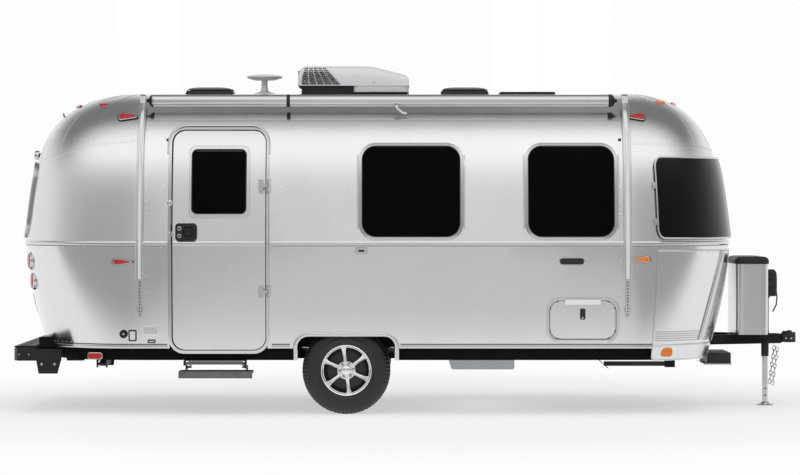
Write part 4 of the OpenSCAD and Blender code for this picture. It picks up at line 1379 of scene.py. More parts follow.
@dataclass
class SideWindows:
    """The black windows of the long sides, in slim riveted frames."""

    frame: float = 0.022
    glass_out: float = 0.009

    def build(self) -> None:
        """Builds the frames and the panes of both sides, and those of the rear window."""
        frames, panes = Draft(), Draft()
        for side in Side:
            for outline, radius in side_windows(side):
                self.window(frames, panes, FORM.side_place(side), Opening(*outline, radius),
                            side is Side.STREET)
        self.rear(frames, panes)
        frames.make("window_frame_rings", "body", [TRIM, SHADOW_SEAL], ["window_frames"], sharp=40)
        self.front(panes)
        panes.make("window_glass", "body", [GLASS, SHADOW_SEAL, SHIELD_GLASS], ["window_panes"],
                   sharp=40)

    def window(self, frames: Draft, panes: Draft, place: Place, hole: Opening, flip: bool) -> None:
        """One side window.

        Args:
            frames: The draft of the frames.
            panes: The draft of the panes.
            place: The wall's surface.
            hole: The window's outline.
            flip: Whether the wall's faces look the other way.
        """
        w = self.frame
        ring = [(w, 0.0004), (w, 0.004), (w * 0.8, 0.006), (0.006, 0.0075), (0.001, 0.0105),
                (-0.004, 0.0105),
                (-0.005, 0.004)]
        frames.hoop(place, hole, ring, 0, side=16, flip=flip)
        gasket = [(-0.003, 0.0100), (-0.006, 0.0112), (-0.011, 0.0105), (-0.012, 0.004)]
        frames.hoop(place, hole, gasket, 1, side=16, flip=flip)
        for u, turn in ((hole.low_u - w, -1), (hole.high_u + w, 1)):
            low, high = hole.low_v + hole.radius * 0.6, hole.high_v - hole.radius * 0.6
            strip = Opening(min(u, u + turn * 0.012), max(u, u + turn * 0.012), low, high, 0.004)
            frames.raised(place, strip, [(0.001, 0.0004), (0.0, 0.0025)], 0, 0, 2, 3, 24, flip)
            spots = [(u + turn * 0.002, z) for z in spread(low + 0.012, high - 0.012, 0.049)]
            frames.rivets(place, spots, 0.0050, 0.0036)
        panes.pane(place, hole.grown(-0.010), self.glass_out - 0.003, 0, 8, side=16, flip=flip,
                   bulge=0.001)
        top = Opening(hole.low_u + hole.radius, hole.high_u - hole.radius, hole.high_v - 0.016,
                      hole.high_v - 0.006, 0.004)
        panes.raised(place, top, [(0.0, 0.004), (-0.001, 0.0125), (-0.003, 0.0125)], 1, 1, 1, 3, 24,
                     flip)

    def rear(self, frames: Draft, panes: Draft) -> None:
        """The rear window, whose frame stands a little proud of the domed end."""
        place = FORM.facing(End.REAR)
        ring = [(0.030, 0.001), (0.030, 0.020), (0.024, 0.026), (0.004, 0.028), (0.0, 0.026),
                (0.0, 0.004)]
        frames.hoop(place, REAR_WINDOW, ring, 0, side=24, flip=True)
        frames.hoop(place, REAR_WINDOW, [(0.001, 0.024), (-0.008, 0.025), (-0.012, 0.014)], 1,
                    side=24, flip=True)
        panes.pane(place, REAR_WINDOW.grown(-0.006), 0.018, 0, 10, side=24, flip=True)

    def front(self, panes: Draft) -> None:
        """The front window and the two corner windows behind the wrap shields."""
        place = FORM.end_place(End.FRONT)
        for hole in FRONT_WINDOWS:
            panes.pane(place, hole, -0.008, 0, 10, side=20, flip=True)


@dataclass
class WrapShields:
    """The tinted shields that wrap round the front corners, and the guards below them."""

    inner_deg: float = 10.5
    outer_deg: float = 73.5
    glass_low: float = 1.432
    glass_high: float = 2.090
    glass_radius: float = 0.085
    tab_heights: Flat = (1.545, 1.835)
    guard_span: Flat = (0.560, 1.345)
    foot_span: Flat = (0.440, 0.576)
    foot_radius: float = 0.055
    rib_count: int = 5
    strip_span: Flat = (0.600, 1.330)
    strip_lean: float = 0.165 / 0.600

    def outline(self, side: Side, low: float, high: float, radius: float,
                inset: float = 0.0) -> Opening:
        """The outline of a shield on one side, between two heights."""
        wide = inset * DEGREE_PER_METRE
        a, b = self.inner_deg + wide, self.outer_deg - wide
        if side is Side.KERB:
            a, b = 180 - b, 180 - a
        return Opening(a, b, low + inset, high - inset, radius, DEGREE_PER_METRE)

    def build(self) -> None:
        """Builds the shields and guards of both corners."""
        place = FORM.end_place(End.FRONT)
        draft = Draft()
        for side in Side:
            self.shield(draft, place, side)
            self.guard(draft, place, side)
        draft.make("front_shields", "body", [TRIM, SHIELD_GLASS, SHADOW_SEAL, CAP_SHEET,
                                             AMBER_LENS],
                   ["stone_guards"], sharp=40)

    def shield(self, draft: Draft, place: Place, side: Side) -> None:
        """One tinted shield in its bright frame, held off the end by tabs."""
        hole = self.outline(side, self.glass_low, self.glass_high, self.glass_radius)
        inside = hole.grown(-0.012)
        draft.hoop(place, hole, [(-0.013, 0.026), (0.0, 0.027), (0.003, 0.030), (0.002, 0.0335),
                                 (-0.010, 0.0345), (-0.013, 0.033)], 0, side=40, flip=True)
        draft.pane(place, inside, 0.0325, 1, 14, side=40, flip=True)
        draft.pane(place, inside, 0.0265, 2, 8, side=40)
        edge = hole.high_u if side is Side.KERB else hole.low_u
        turn = 1 if side is Side.KERB else -1
        for z in self.tab_heights:
            tab = Opening(min(edge, edge + turn * 1.3), max(edge, edge + turn * 1.3), z, z + 0.055,
                          0.006, DEGREE_PER_METRE)
            draft.raised(place, tab, [(0.0, 0.0005), (0.0, 0.026), (-0.002, 0.028)], 0, 0, 2, 3, 3,
                         True)

    def guard(self, draft: Draft, place: Place, side: Side) -> None:
        """The sheet guard below a shield, with a rolled edge and a ribbed foot."""
        hole = self.outline(side, *self.guard_span, 0.03)
        draft.raised(place, hole, [(0.0, 0.001), (0.0, 0.01), (-0.004, 0.0125), (-0.01, 0.0125),
                                   (-0.014, 0.009)], 0, 3, 10, side=40, flip=True)
        for i in range(self.rib_count):
            z = 0.600 + 0.018 * i
            rib = Opening(hole.low_u + 1.2, hole.high_u - 1.2, z, z + 0.009, 0.004,
                          DEGREE_PER_METRE)
            draft.hoop(place, rib, [(0.0, 0.009), (-0.002, 0.0125), (-0.0042, 0.013)], 0, 3, 40,
                       True)
        inner = hole.grown(-0.022)
        spots = [(u, inner.high_v) for u in spread(inner.low_u, inner.high_u, 5.2)]
        spots += [(u, z) for u in (inner.low_u, inner.high_u) for z in spread(0.72, 1.27, 0.11)]
        draft.rivets(place, spots, 0.009, 0.005, 0)
        foot = Opening(hole.low_u, hole.high_u, *self.foot_span, self.foot_radius, DEGREE_PER_METRE)
        draft.raised(place, foot, [(0.0, -0.02), (0.0, 0.008), (-0.004, 0.011), (-0.01, 0.011),
                                   (-0.013, 0.009)], 0, 3, 6, side=40, flip=True)
        self.corner_strip(draft, place, side)

    def corner_strip(self, draft: Draft, place: Place, side: Side) -> None:
        """The folded strip with a bead at each edge that runs down a guard near its front edge."""
        def angle(x: float, z: float) -> float:
            """The turn round the end of a place on the side's half."""
            return FORM.end_angle(End.FRONT, x, z, side)

        zs = spread(*self.strip_span, 0.04)
        turn = -1 if side is Side.KERB else 1
        rows = []
        for shift, off in ((0.0, 0.009), (0.0, 0.016), (0.5, 0.019), (1.0, 0.016), (1.4, 0.012),
                           (4.4, 0.013), (4.8, 0.016), (5.3, 0.019), (5.8, 0.016), (5.8, 0.009)):
            row = []
            for z in zs:
                x = 2.352 + self.strip_lean * (z - self.strip_span[0])
                row.append(place(angle(x, z) + turn * shift, z, off))
            rows.append(row)
        draft.patch(rows, 0, flip=side is Side.STREET)


# ---- Entry door and hatch ----


@dataclass
class EntryDoor:
    """The entry door with its frame, window, latch, hinges and grab handle."""

    leaf: Opening = Opening(-1.945, -1.189, 0.530, 2.320, 0.100)
    window: Opening = Opening(-1.790, -1.347, 1.638, 2.161, 0.045)
    flange: Opening = Opening(-1.812, -1.315, 1.597, 2.194, 0.055)
    vent_slot: Opening = Opening(-1.760, -1.378, 2.143, 2.152, 0.004)
    hinge_heights: Flat = (1.005, 1.870)
    hinge_half: float = 0.052
    hinge_x: float = -1.176
    hinge_y: float = -1.236
    cap_radius: float = 0.155

    def build(self) -> None:
        """Builds the door and everything on it."""
        place = FORM.side_place(Side.KERB)
        self.surround(place)
        self.skin(place)
        self.glass(place)
        self.latch()
        self.handle()

    def surround(self, place: Place) -> None:
        """The frame fixed to the wall, its drip cap and the fixed halves of the hinges."""
        low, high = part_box("door_frame")
        draft = Draft()
        hole = Opening(self.leaf.low_u - 0.010, self.leaf.high_u + 0.005, 0.525, 2.325, 0.104)
        draft.hoop(place, hole, [(0.0, -0.042), (0.0, 0.002), (0.002, 0.004), (0.022, 0.004),
                                 (0.026, 0.003), (0.027, 0.0005)], 0, 10, 40)
        draft.hoop(place, hole, [(0.0, -0.040), (-0.018, -0.040), (-0.018, -0.014), (0.0, -0.014)],
                   1, 10, 40,
                   flip=True)
        for x in (hole.low_u - 0.015, hole.high_u + 0.015):
            draft.rivets(place, [(x, z) for z in spread(0.60, 2.20, 0.104)], 0.004, 0.0045)
        self.drip_cap(draft, place, low, high)
        for z in self.hinge_heights:
            for turn in (-1, 1):
                middle = z + turn * self.hinge_half * 0.66
                half = self.hinge_half * 0.3
                self.knuckle(draft, middle - half, middle + half)
                edge = -FORM.half_width(FORM.level(middle))
                draft.box((self.hinge_x, self.hinge_y, middle - 0.013),
                          (-1.165, edge + 0.002, middle + 0.013))
            plate = Opening(-1.170, -1.147, z - self.hinge_half * 1.2, z + self.hinge_half * 1.2,
                            0.006)
            draft.raised(place, plate, [(0.0, 0.003), (-0.001, 0.008), (-0.004, 0.0085)], 0, 0, 2,
                         4, 4)
            draft.rivets(place, [(-1.157, z + d) for d in (-0.045, 0.0, 0.045)], 0.0085, 0.005)
        draft.make("door_surround", "body", [TRIM, SHADOW_SEAL], ["door_frame"], sharp=40)

    def knuckle(self, draft: Draft, low: float, high: float, finish: int = 0) -> None:
        """One knuckle of a hinge, with a small ball at its ends."""
        draft.turned((self.hinge_x, self.hinge_y, low), (0, 0, 1), [
            (0.0070, 0.0), (0.009, 0.002), (0.009, high - low - 0.002), (0.0070, high - low)],
                     finish, 16)

    def drip_cap(self, draft: Draft, place: Place, low: Vector, high: Vector) -> None:
        """The bright gutter bent over the top of the door."""
        arc_r, top = self.cap_radius, high.z + 0.012
        left, right = low.x - 0.004, high.x + 0.004
        run: list[Flat] = [(left, top - 0.235)]
        run += [(left + arc_r - arc_r * math.cos(t), top - arc_r + arc_r * math.sin(t))
                for t in (math.radians(9 * i) for i in range(11))]
        run += between(run[-1], (right - arc_r, top), 14)
        run += [(right - arc_r + arc_r * math.sin(t), top - arc_r + arc_r * math.cos(t))
                for t in (math.radians(9 * i) for i in range(11))]
        run.append((right, top - 0.235))
        rows = []
        for grow, off in ((-0.007, 0.0005), (-0.007, 0.010), (0.0, 0.014), (0.006, 0.010),
                          (0.007, 0.0005)):
            row = []
            for i, (x, z) in enumerate(run):
                a, b = run[max(0, i - 1)], run[min(len(run) - 1, i + 1)]
                way = Vector((b[0] - a[0], b[1] - a[1])).normalized()
                row.append(place(x - way.y * grow, z + way.x * grow, off))
            rows.append(row)
        ids = draft.patch(rows, 0)
        draft.cover([r[0] for r in ids], 0)
        draft.cover([r[-1] for r in ids], 0, flip=True)

    def skin(self, place: Place) -> None:
        """The leaf: a thin outer sheet, a narrower core, and the moving halves of the hinges."""
        draft = Draft()
        draft.hoop(place, self.leaf, [(-0.004, -0.0085), (0.0, -0.008), (0.0, -0.002),
                                      (-0.002, 0.0)], 0, 10, 40)
        self.sheet(draft, place, self.leaf.grown(-0.002), 0.0, 0)
        core = Opening(self.leaf.low_u + 0.038, self.leaf.high_u - 0.016, 0.554, 2.296, 0.07)
        draft.hoop(place, core, [(0.0, -0.0085), (0.0, -0.045)], 1, 10, 40, flip=True)
        draft.hoop(place, self.leaf, [(-0.004, -0.0085), (-0.039, -0.0085)], 1, 10, 40, flip=True)
        self.sheet(draft, place, core, -0.045, 1, flip=True)
        draft.hoop(place, self.window, [(0.0, -0.045), (0.0, 0.001)], 1, 6, 10, flip=True)
        flange = self.flange
        rows_profile = [(0.0, 0.0005), (0.0, 0.003), (-0.003, 0.0045)]
        draft.hoop(place, flange, rows_profile, 2, 8, 12)
        outer = [place(u, v, 0.0045) for u, v in flange.loop(-0.003, 8, 12)]
        inner = [place(u, v, 0.0045) for u, v in self.window.loop(0.0, 8, 12)]
        draft.patch([outer, inner], 2, closed=True)
        draft.hoop(place, self.window, [(0.004, 0.0045), (0.002, 0.0085), (-0.003, 0.0085),
                                        (-0.005, 0.003)],
                   3, 8, 12)
        for x in (flange.low_u + 0.011, flange.high_u - 0.014):
            draft.rivets(place, [(x, z) for z in spread(1.632, 2.160, 0.049)], 0.0045, 0.0036, 2)
        for z in (flange.low_v + 0.016, flange.high_v - 0.014):
            draft.rivets(place, [(x, z) for x in spread(-1.77, -1.36, 0.10)], 0.0045, 0.0036, 2)
        for x in (-1.705, -1.430):
            for z in (0.925, 1.190, 0.66):
                draft.rivet(place(x, z, 0.0), normal_of(place, x, z), 0.005)
        for x in (self.leaf.low_u + 0.012, self.leaf.high_u - 0.012):
            draft.rivets(place, [(x, z) for z in spread(0.62, 2.2, 0.105)
                                 if abs(z - FORM.belt) > 0.03],
                         0.0, 0.0042)
        rail = [(self.leaf.low_u + 0.003 + (self.leaf.high_u - self.leaf.low_u - 0.006) * i / 20)
                for i in range(21)]
        rows = [[place(x, FORM.belt + dz, off) for x in rail]
                for dz, off in ((-0.017, 0.0005), (-0.017, 0.004), (-0.008, 0.008), (0.008, 0.008),
                                (0.017, 0.004), (0.017, 0.0005))]
        ids = draft.patch(rows, 2)
        draft.cover([r[0] for r in ids], 2)
        draft.cover([r[-1] for r in ids], 2, flip=True)
        for z in self.hinge_heights:
            self.moving_hinge(draft, z)
        draft.make("entry_door_leaf", "entry_door", [DOOR_SHEET, LINER, TRIM, SHADOW_SEAL],
                   ["entry_door"],
                   sharp=40)

    def sheet(self, draft: Draft, place: Place, outline: Opening, off: float, finish: int,
              flip: bool = False) -> None:
        """A sheet of the leaf with the window left open, as a grid with a neat edge.

        Args:
            draft: The draft to add to.
            place: The wall's surface.
            outline: The sheet's outline.
            off: Its distance off the wall's skin.
            finish: Its finish.
            flip: Whether it looks inwards.
        """
        hole = self.window.grown(0.012)
        us = spread(outline.low_u, outline.high_u, 0.024, [hole.low_u, hole.high_u])
        vs = spread(outline.low_v, outline.high_v, 0.024, [hole.low_v, hole.high_v])
        rows = []
        for v in vs:
            row = []
            for u in us:
                du, dv = self.rounded(outline, u, v)
                row.append(place(du, dv, off + (ripple(place(u, v, 0)) * 0.7 if off == 0 else 0)))
            rows.append(row)
        draft.patch(rows, finish, flip=flip, keep=lambda i, j: not hole.holds(
            (us[j] + us[j + 1]) / 2, (vs[i] + vs[i + 1]) / 2))

    def rounded(self, o: Opening, u: float, v: float) -> Flat:
        """Draws a place near a corner in, so that a grid ends on the round outline."""
        cu = min(max(u, o.low_u + o.radius), o.high_u - o.radius)
        cv = min(max(v, o.low_v + o.radius), o.high_v - o.radius)
        du, dv = u - cu, v - cv
        far = max(abs(du), abs(dv))
        if far == 0 or du == 0 or dv == 0:
            return (u, v)
        scale = far / math.hypot(du, dv)
        return (cu + du * scale, cv + dv * scale)

    def moving_hinge(self, draft: Draft, z: float) -> None:
        """The leaf's half of a hinge: a knuckle and a bolted plate."""
        third = self.hinge_half * 0.33
        self.knuckle(draft, z - third, z + third, 2)
        edge = -FORM.half_width(FORM.level(z))
        draft.box((-1.246, -1.238, z - third), (-1.178, -1.230, z + third), 2)
        draft.box((-1.244, -1.236, z - self.hinge_half * 0.9),
                  (-1.208, edge + 0.006, z + self.hinge_half * 0.9), 2)
        for d in (-0.030, 0.0, 0.030):
            draft.turned((-1.226, -1.238, z + d), (0, -1, 0),
                         [(0.007, 0), (0.006, 0.003), (0, 0.004)], 2, 6)

    def glass(self, place: Place) -> None:
        """The door's black pane."""
        draft = Draft()
        draft.pane(place, self.window.grown(-0.002), 0.004, 0, 8)
        draft.pane(place, self.window.grown(-0.002), -0.018, 0, 8, flip=True)
        slot = self.vent_slot
        draft.raised(place, slot, [(0.0, 0.004), (0.0, 0.007), (-0.003, 0.007)], 1, 1, 1, 3, 10)
        draft.make("door_pane", "entry_door", [GLASS, SHADOW_SEAL], ["door_window"], sharp=40)

    def latch(self) -> None:
        """The black latch with a recessed paddle and two round locks."""
        low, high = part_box("door_latch")
        draft = Draft()
        body = Opening(low.x, high.x, low.z, high.z, 0.03)
        front = low.y

        def flat(x: float, z: float, off: float) -> Point:
            """A point in front of the latch's flat face."""
            return (x, front - off, z)

        draft.hoop(flat, body, [(0.0, -0.026), (0.0, -0.005), (-0.003, -0.001), (-0.008, 0.0)], 0,
                   8, 4)
        dish = Opening(low.x + 0.062, high.x - 0.016, low.z + 0.028, high.z - 0.028, 0.040)
        outer = [flat(u, v, 0.0) for u, v in body.loop(-0.008, 8, 4)]
        inner = [flat(u, v, 0.0) for u, v in dish.loop(0.0, 8, 4)]
        draft.patch([outer, inner], 0, closed=True)
        draft.raised(flat, dish, [(0.0, 0.0), (-0.004, -0.01), (-0.006, -0.014)], 0, 0, 2, 8, 4)
        paddle = Opening(low.x + 0.070, high.x - 0.050, low.z + 0.036, high.z - 0.036, 0.030)
        draft.raised(flat, paddle, [(0.0, -0.014), (0.0, -0.006), (-0.004, -0.002),
                                    (-0.012, -0.001)], 0, 0, 2, 8, 4)
        for z in (low.z + 0.042, high.z - 0.042):
            draft.turned((low.x + 0.034, front + 0.003, z), (0, -1, 0), [
                (0.016, 0.0), (0.016, 0.003), (0.013, 0.0045), (0.010, 0.0045), (0.009, 0.003),
                (0, 0.003)], 1, 24)
            draft.box((low.x + 0.032, front - 0.001, z - 0.007),
                      (low.x + 0.036, front + 0.001, z + 0.007), 0)
        draft.make("door_latch_set", "entry_door", [BLACK, ZINC], ["door_latch"], sharp=40)

    def handle(self) -> None:
        """The bright grab handle beside the door."""
        low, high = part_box("grab_handle")
        x, y, r = (low.x + high.x) / 2, low.y + 0.010, 0.010
        draft = Draft()
        bow = 0.028
        path = [(x, y + 0.050, low.z + r)]
        path += [(x, y + bow - bow * math.sin(t), low.z + r + bow - bow * math.cos(t))
                 for t in (math.radians(15 * i) for i in range(7))]
        path += [(x, y + bow - bow * math.cos(t), high.z - r - bow + bow * math.sin(t))
                 for t in (math.radians(15 * i) for i in range(7))]
        path.append((x, y + 0.050, high.z - r))
        draft.rod(path, r * 0.95, 0, 16)
        for z in (low.z + r, high.z - r):
            draft.turned((x, y + 0.052, z), (0, -1, 0), [(0.024, -0.004), (0.024, 0.003),
                                                         (0.020, 0.006), (0, 0.006)],
                         0, 20)
            for turn in (-1, 1):
                draft.turned((x + turn * 0.017, y + 0.046, z), (0, -1, 0),
                             [(0.004, 0), (0.0032, 0.003), (0, 0.0035)], 0, 8)
        draft.make("door_grab_handle", "body", [TRIM], ["grab_handle"], sharp=50)


@dataclass
class SmallFittings:
    """The storage hatch, the blank badge, the ports and the other small things on the walls."""

    lock_plate: Opening = Opening(1.369, 1.413, 0.778, 0.868, 0.012)
    lock_dish: Opening = Opening(1.377, 1.405, 0.800, 0.860, 0.012)
    badge: Opening = Opening(1.193, 1.410, 1.218, 1.288, 0.034)
    keeper: Opening = Opening(-0.457, -0.361, 1.310, 1.366, 0.012)
    round_port: Point = (-2.345, 0.660, 0.034)
    kerb_ports: tuple[tuple[Opening, int, int], ...] = (
        (Opening(-2.305, -2.239, 0.601, 0.693, 0.010), 3, 1),
        (Opening(-2.185, -2.060, 0.650, 0.722, 0.014), 0, 2),
        (Opening(-2.150, -2.085, 0.586, 0.614, 0.008), 2, 1),
    )
    inlet: Opening = Opening(-1.05, -0.96, 0.72, 0.83, 0.012)
    service_hatches: tuple[tuple[float, float, float, float], ...] = (
        (-1.85, 0.70, 0.52, 0.40), (0.35, 0.64, 0.42, 0.46), (1.05, 0.70, 0.34, 0.30),
    )
    slats: int = 7

    def build(self) -> None:
        """Builds the hatch and the fittings."""
        self.storage_hatch()
        self.wall_fittings()

    def storage_hatch(self) -> None:
        """The hatch's lid on its own body and the flange round it."""
        place = FORM.side_place(Side.KERB)
        lid = Draft()
        lid.raised(place, HATCH, [(-0.01, -0.04), (-0.001, -0.038), (0.0, 0.001), (-0.003, 0.004),
                                  (-0.007, 0.004)], 0, 0, 7, 10, 12, bulge=0.0015)
        lid.pane(place, HATCH.grown(-0.010), -0.040, 1, 4, 10, 12, flip=True)
        plate = self.lock_plate
        lid.raised(place, plate, [(0.0, 0.004), (0.0, 0.009), (-0.003, 0.011)], 2, 2, 2, 6, 3)
        dish = self.lock_dish
        lid.hoop(place, dish, [(0.0, 0.0112), (-0.002, 0.007)], 2, 6, 3)
        lock = place(1.391, 0.792, 0.011)
        lid.turned(lock, (0, -1, 0), [(0.008, 0), (0.008, 0.002), (0.005, 0.003), (0, 0.003)], 3,
                   16)
        low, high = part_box("storage_hatch")
        lid.rod([(low.x + 0.12, -1.214, 0.940), (high.x - 0.12, -1.214, 0.940)], 0.006, 4, 12)
        lid.prism([(low.x + 0.12, -1.219, 0.934), (low.x + 0.12, -1.2145, 0.946),
                   (low.x + 0.12, -1.197, 0.917), (low.x + 0.12, -1.203, 0.900)],
                  (high.x - low.x - 0.24, 0, 0), 0)
        lid.make("hatch_lid", "storage_hatch", [DOOR_SHEET, LINER, BLACK, ZINC, TRIM],
                 ["storage_hatch"], sharp=40)
        flange = Draft()
        flange.hoop(place, HATCH, [(0.006, -0.02), (0.006, 0.003), (0.010, 0.004), (0.034, 0.0035),
                                        (0.037, 0.0006)], 0, 10, 12)
        # Painted shade: a dark ring on the flange's inner lip. It is partly the lid's seal and
        # partly painted shade that widens the dark gap round the lid.
        flange.hoop(place, HATCH, [(0.0045, 0.0042), (0.0085, 0.0044)], 1, 10, 12)
        flange.rivets(place, [s for i, s in enumerate(HATCH.loop(0.022, 10, 12)) if i % 3 == 0],
                      0.0036, 0.004)
        flange.hoop(place, HATCH, [(-0.02, -0.042), (0.006, -0.042), (0.006, -0.02)], 1, 10, 12)
        flange.make("hatch_flange", "body", [TRIM, SHADOW_SEAL], sharp=40)

    def wall_fittings(self) -> None:
        """The badge, the hold-back, the ports and the street side's service hatches."""
        draft = Draft()
        kerb, street = FORM.side_place(Side.KERB), FORM.side_place(Side.STREET)
        self.plate(draft, kerb, self.badge, 0.010, 0)
        self.plate(draft, kerb, self.badge.grown(-0.009), 0.013, 1)
        self.plate(draft, kerb, self.keeper, 0.016, 0)
        draft.box((-0.432, -1.245, 1.330), (-0.386, -1.228, 1.347), 1)
        x, z, size = self.round_port
        at, out = kerb(x, z, 0.0), normal_of(kerb, x, z)
        draft.turned(at, out, [(size, 0.0), (size, 0.008), (size * 0.85, 0.012),
                               (size * 0.8, 0.010), (size * 0.2, 0.010), (0, 0.014)], 1, 28)
        draft.turned(Vector(at) + out * 0.012, out, [(0.007, 0), (0.006, 0.003), (0, 0.003)], 3, 12)
        for outline, finish, rim in self.kerb_ports:
            self.port(draft, kerb, outline, finish, rim)
        for x0, z0, wide, high in self.service_hatches:
            door = Opening(x0, x0 + wide, z0, z0 + high, 0.03)
            draft.raised(street, door, [(0.0, 0.0006), (0.0, 0.006), (-0.004, 0.009),
                                        (-0.02, 0.009), (-0.022, 0.006)], 4, 4, 4, 8, 14, True)
            draft.rivets(street, [s for i, s in enumerate(door.loop(-0.012, 8, 14)) if i % 4 == 0],
                         0.009, 0.004, 4)
            lock = street(x0 + wide / 2, z0 + 0.05, 0.006)
            draft.turned(lock, (0, 1, 0), [(0.014, 0), (0.014, 0.004), (0.010, 0.006), (0, 0.006)],
                         1, 18)
        for i in range(self.slats):
            z = 0.80 + i * 0.028
            slat = Opening(0.10, 0.36, z, z + 0.014, 0.005)
            draft.raised(street, slat, [(0.0, 0.0006), (-0.001, 0.005), (-0.003, 0.007)], 3, 3, 1,
                         3, 6, True)
        self.port(draft, street, self.inlet, 3, 1, flip=True)
        for x in (-1.992, 1.700):
            for side in Side:
                draft.box(*self.end_piece(side, x), 1)
        draft.make("wall_fittings", "body", [TRIM, BLACK, DOOR_SHEET, WHITE, SHEET], sharp=40)

    def end_piece(self, side: Side, x: float) -> tuple[Point, Point]:
        """The corners of a small dark end piece of a roof-edge seam."""
        y = side.value * FORM.half_width(FORM.level(2.238))
        return ((x - 0.012, min(y - 0.004, y + 0.004), 2.222),
                (x + 0.012, max(y - 0.004, y + 0.004), 2.254))

    def plate(self, draft: Draft, place: Place, outline: Opening, out: float, finish: int) -> None:
        """A small raised plate with a rounded edge."""
        draft.raised(place, outline, [(0.0, 0.0004), (0.0, out * 0.7), (-0.003, out)], finish,
                     finish, 3, 8, 4)

    def port(self, draft: Draft, place: Place, outline: Opening, finish: int, rim: int,
             flip: bool = False) -> None:
        """A small port with a rim and a recessed lid."""
        draft.raised(place, outline, [(0.0, 0.0004), (0.0, 0.008), (-0.003, 0.01), (-0.009, 0.01),
                                      (-0.01, 0.006)], rim, finish, 2, 5, 4, flip)


# ---- Wheels ----


@dataclass
class Wheel:
    """A trailer wheel: a grooved tyre on a machined six-spoke rim."""

    word: str
    spokes: int = 6
    first_spoke_deg: float = 37.0
    lug_count: int = 66
    grooves: tuple[float, ...] = (-0.062, -0.021, 0.021, 0.062)
    groove_deep: float = 0.009

    def build(self) -> None:
        """Builds the tyre and the rim."""
        low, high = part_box(f"{self.word}_tyre")
        self.side = 1 if high.y > 0 and low.y > 0 else -1
        self.middle = Vector(((low.x + high.x) / 2, (low.y + high.y) / 2, (low.z + high.z) / 2))
        self.radius = (high.z - low.z) / 2
        self.half = (high.y - low.y) / 2
        self.tyre()
        self.rim()

    def tyre(self) -> None:
        """The tyre, with circular grooves, cut shoulders and raised rings on its walls."""
        r, h = self.radius, self.half
        profile: list[tuple[float, float]] = [
            (0.196, -h + 0.012), (0.212, -h + 0.005), (0.232, -h + 0.004), (0.238, -h + 0.0005),
            (0.262, -h + 0.0002),
            (0.268, -h + 0.004), (0.292, -h + 0.003), (0.320, -h + 0.008), (0.334, -h + 0.016),
            (0.346, -h + 0.026), (0.355, -h + 0.036), (r - 0.0015, -h + 0.050)]
        for g in self.grooves:
            floor = r - self.groove_deep
            profile += [(r, g - 0.0065), (floor, g - 0.005), (floor, g + 0.005), (r, g + 0.0065)]
        profile += [(a, -b) for a, b in profile[11::-1]]
        draft = Draft()
        lugs = self.lug_count

        def rows() -> list[list[Point]]:
            """The tyre's surface, with the shoulder blocks cut at an even pitch."""
            made = []
            for radius, along in profile:
                row = []
                for k in range(lugs * 4):
                    cut = 0.0
                    near = abs(along)
                    if near > 0.068 and radius > 0.333 and k % 4 == 0:
                        cut = 0.007
                    elif near <= 0.068 and radius > r - 0.002 and (k + (2 if along > 0
                                                                        else 0)) % 8 == 0:
                        cut = 0.003
                    t = math.tau * (k + (0.6 * math.sin(along * 60))) / (lugs * 4)
                    q = radius - cut
                    row.append((self.middle.x + q * math.cos(t), self.middle.y + along,
                                self.middle.z + q * math.sin(t)))
                made.append(row)
            return made

        draft.patch(rows(), 0, closed=True, flip=False)
        draft.patch([self.circle(0.196, -h + 0.012), self.circle(0.196, h - 0.012)], 0, closed=True,
                    flip=True)
        draft.make(f"{self.word}_tread_tyre", f"{self.word}_wheel", [RUBBER], [f"{self.word}_tyre"],
                   sharp=32)

    def circle(self, radius: float, along: float, count: int = 264) -> list[Point]:
        """A circle about the axle line."""
        return [(self.middle.x + radius * math.cos(math.tau * k / count), self.middle.y + along,
                 self.middle.z + radius * math.sin(math.tau * k / count)) for k in range(count)]

    def at(self, radius: float, angle: float, out: float) -> Point:
        """A point of the rim by its radius, its turn and how far out from the tyre's middle."""
        t = math.radians(angle)
        return (self.middle.x + radius * math.cos(t), self.middle.y + self.side * out,
                self.middle.z + radius * math.sin(t))

    def rim(self) -> None:
        """The rim's barrel, lip, spokes, hub and nuts."""
        draft = Draft()
        h = self.half
        lip = [(0.182, -h + 0.004), (0.206, -h), (0.206, -h + 0.004), (0.1955, -h + 0.012),
               (0.1955, h - 0.012),
               (0.206, h - 0.004), (0.207, h - 0.0005), (0.203, h + 0.001), (0.197, h - 0.002),
               (0.193, h - 0.010),
               (0.186, h - 0.016), (0.184, h - 0.030), (0.182, h - 0.070), (0.170, h - 0.110),
               (0.172, -h + 0.03),
               (0.182, -h + 0.004)]
        # The inner barrel (the lip's later steps) takes the dark pocket finish, painted shade for
        # the inside of the wheel.
        for i in range(len(lip) - 1):
            (a, u), (b, v) = lip[i], lip[i + 1]
            rows = [[self.at(a, 360 * k / 96, u) for k in range(96)],
                    [self.at(b, 360 * k / 96, v) for k in range(96)]]
            draft.patch(rows, 0 if i < 10 else 1, closed=True, flip=self.side > 0)
        # Painted shade: a closed dark disc behind the spokes stands for the shaded brake parts seen
        # between them.
        disc = [(0.182, h - 0.074), (0.150, h - 0.066), (0.070, h - 0.062), (0.0, h - 0.060)]
        for (a, u), (b, v) in zip(disc, disc[1:]):
            rows = [[self.at(a, 7.5 * k, u) for k in range(48)],
                    [self.at(b, 7.5 * k, v) for k in range(48)]]
            draft.patch(rows, 1, closed=True, flip=self.side > 0)
        back = [(0.182, h - 0.074), (0.140, h - 0.100), (0.0, h - 0.100)]
        for (a, u), (b, v) in zip(back, back[1:]):
            rows = [[self.at(a, 7.5 * k, u) for k in range(48)],
                    [self.at(b, 7.5 * k, v) for k in range(48)]]
            draft.patch(rows, 1, closed=True, flip=self.side < 0)
        for i in range(self.spokes):
            self.spoke(draft, self.first_spoke_deg + i * 360 / self.spokes, h)
        self.hub(draft, h)
        draft.make(f"{self.word}_spoked_rim", f"{self.word}_wheel", [ALLOY, POCKET_PAINT_AND_SHADE],
                   [f"{self.word}_rim"], sharp=30)

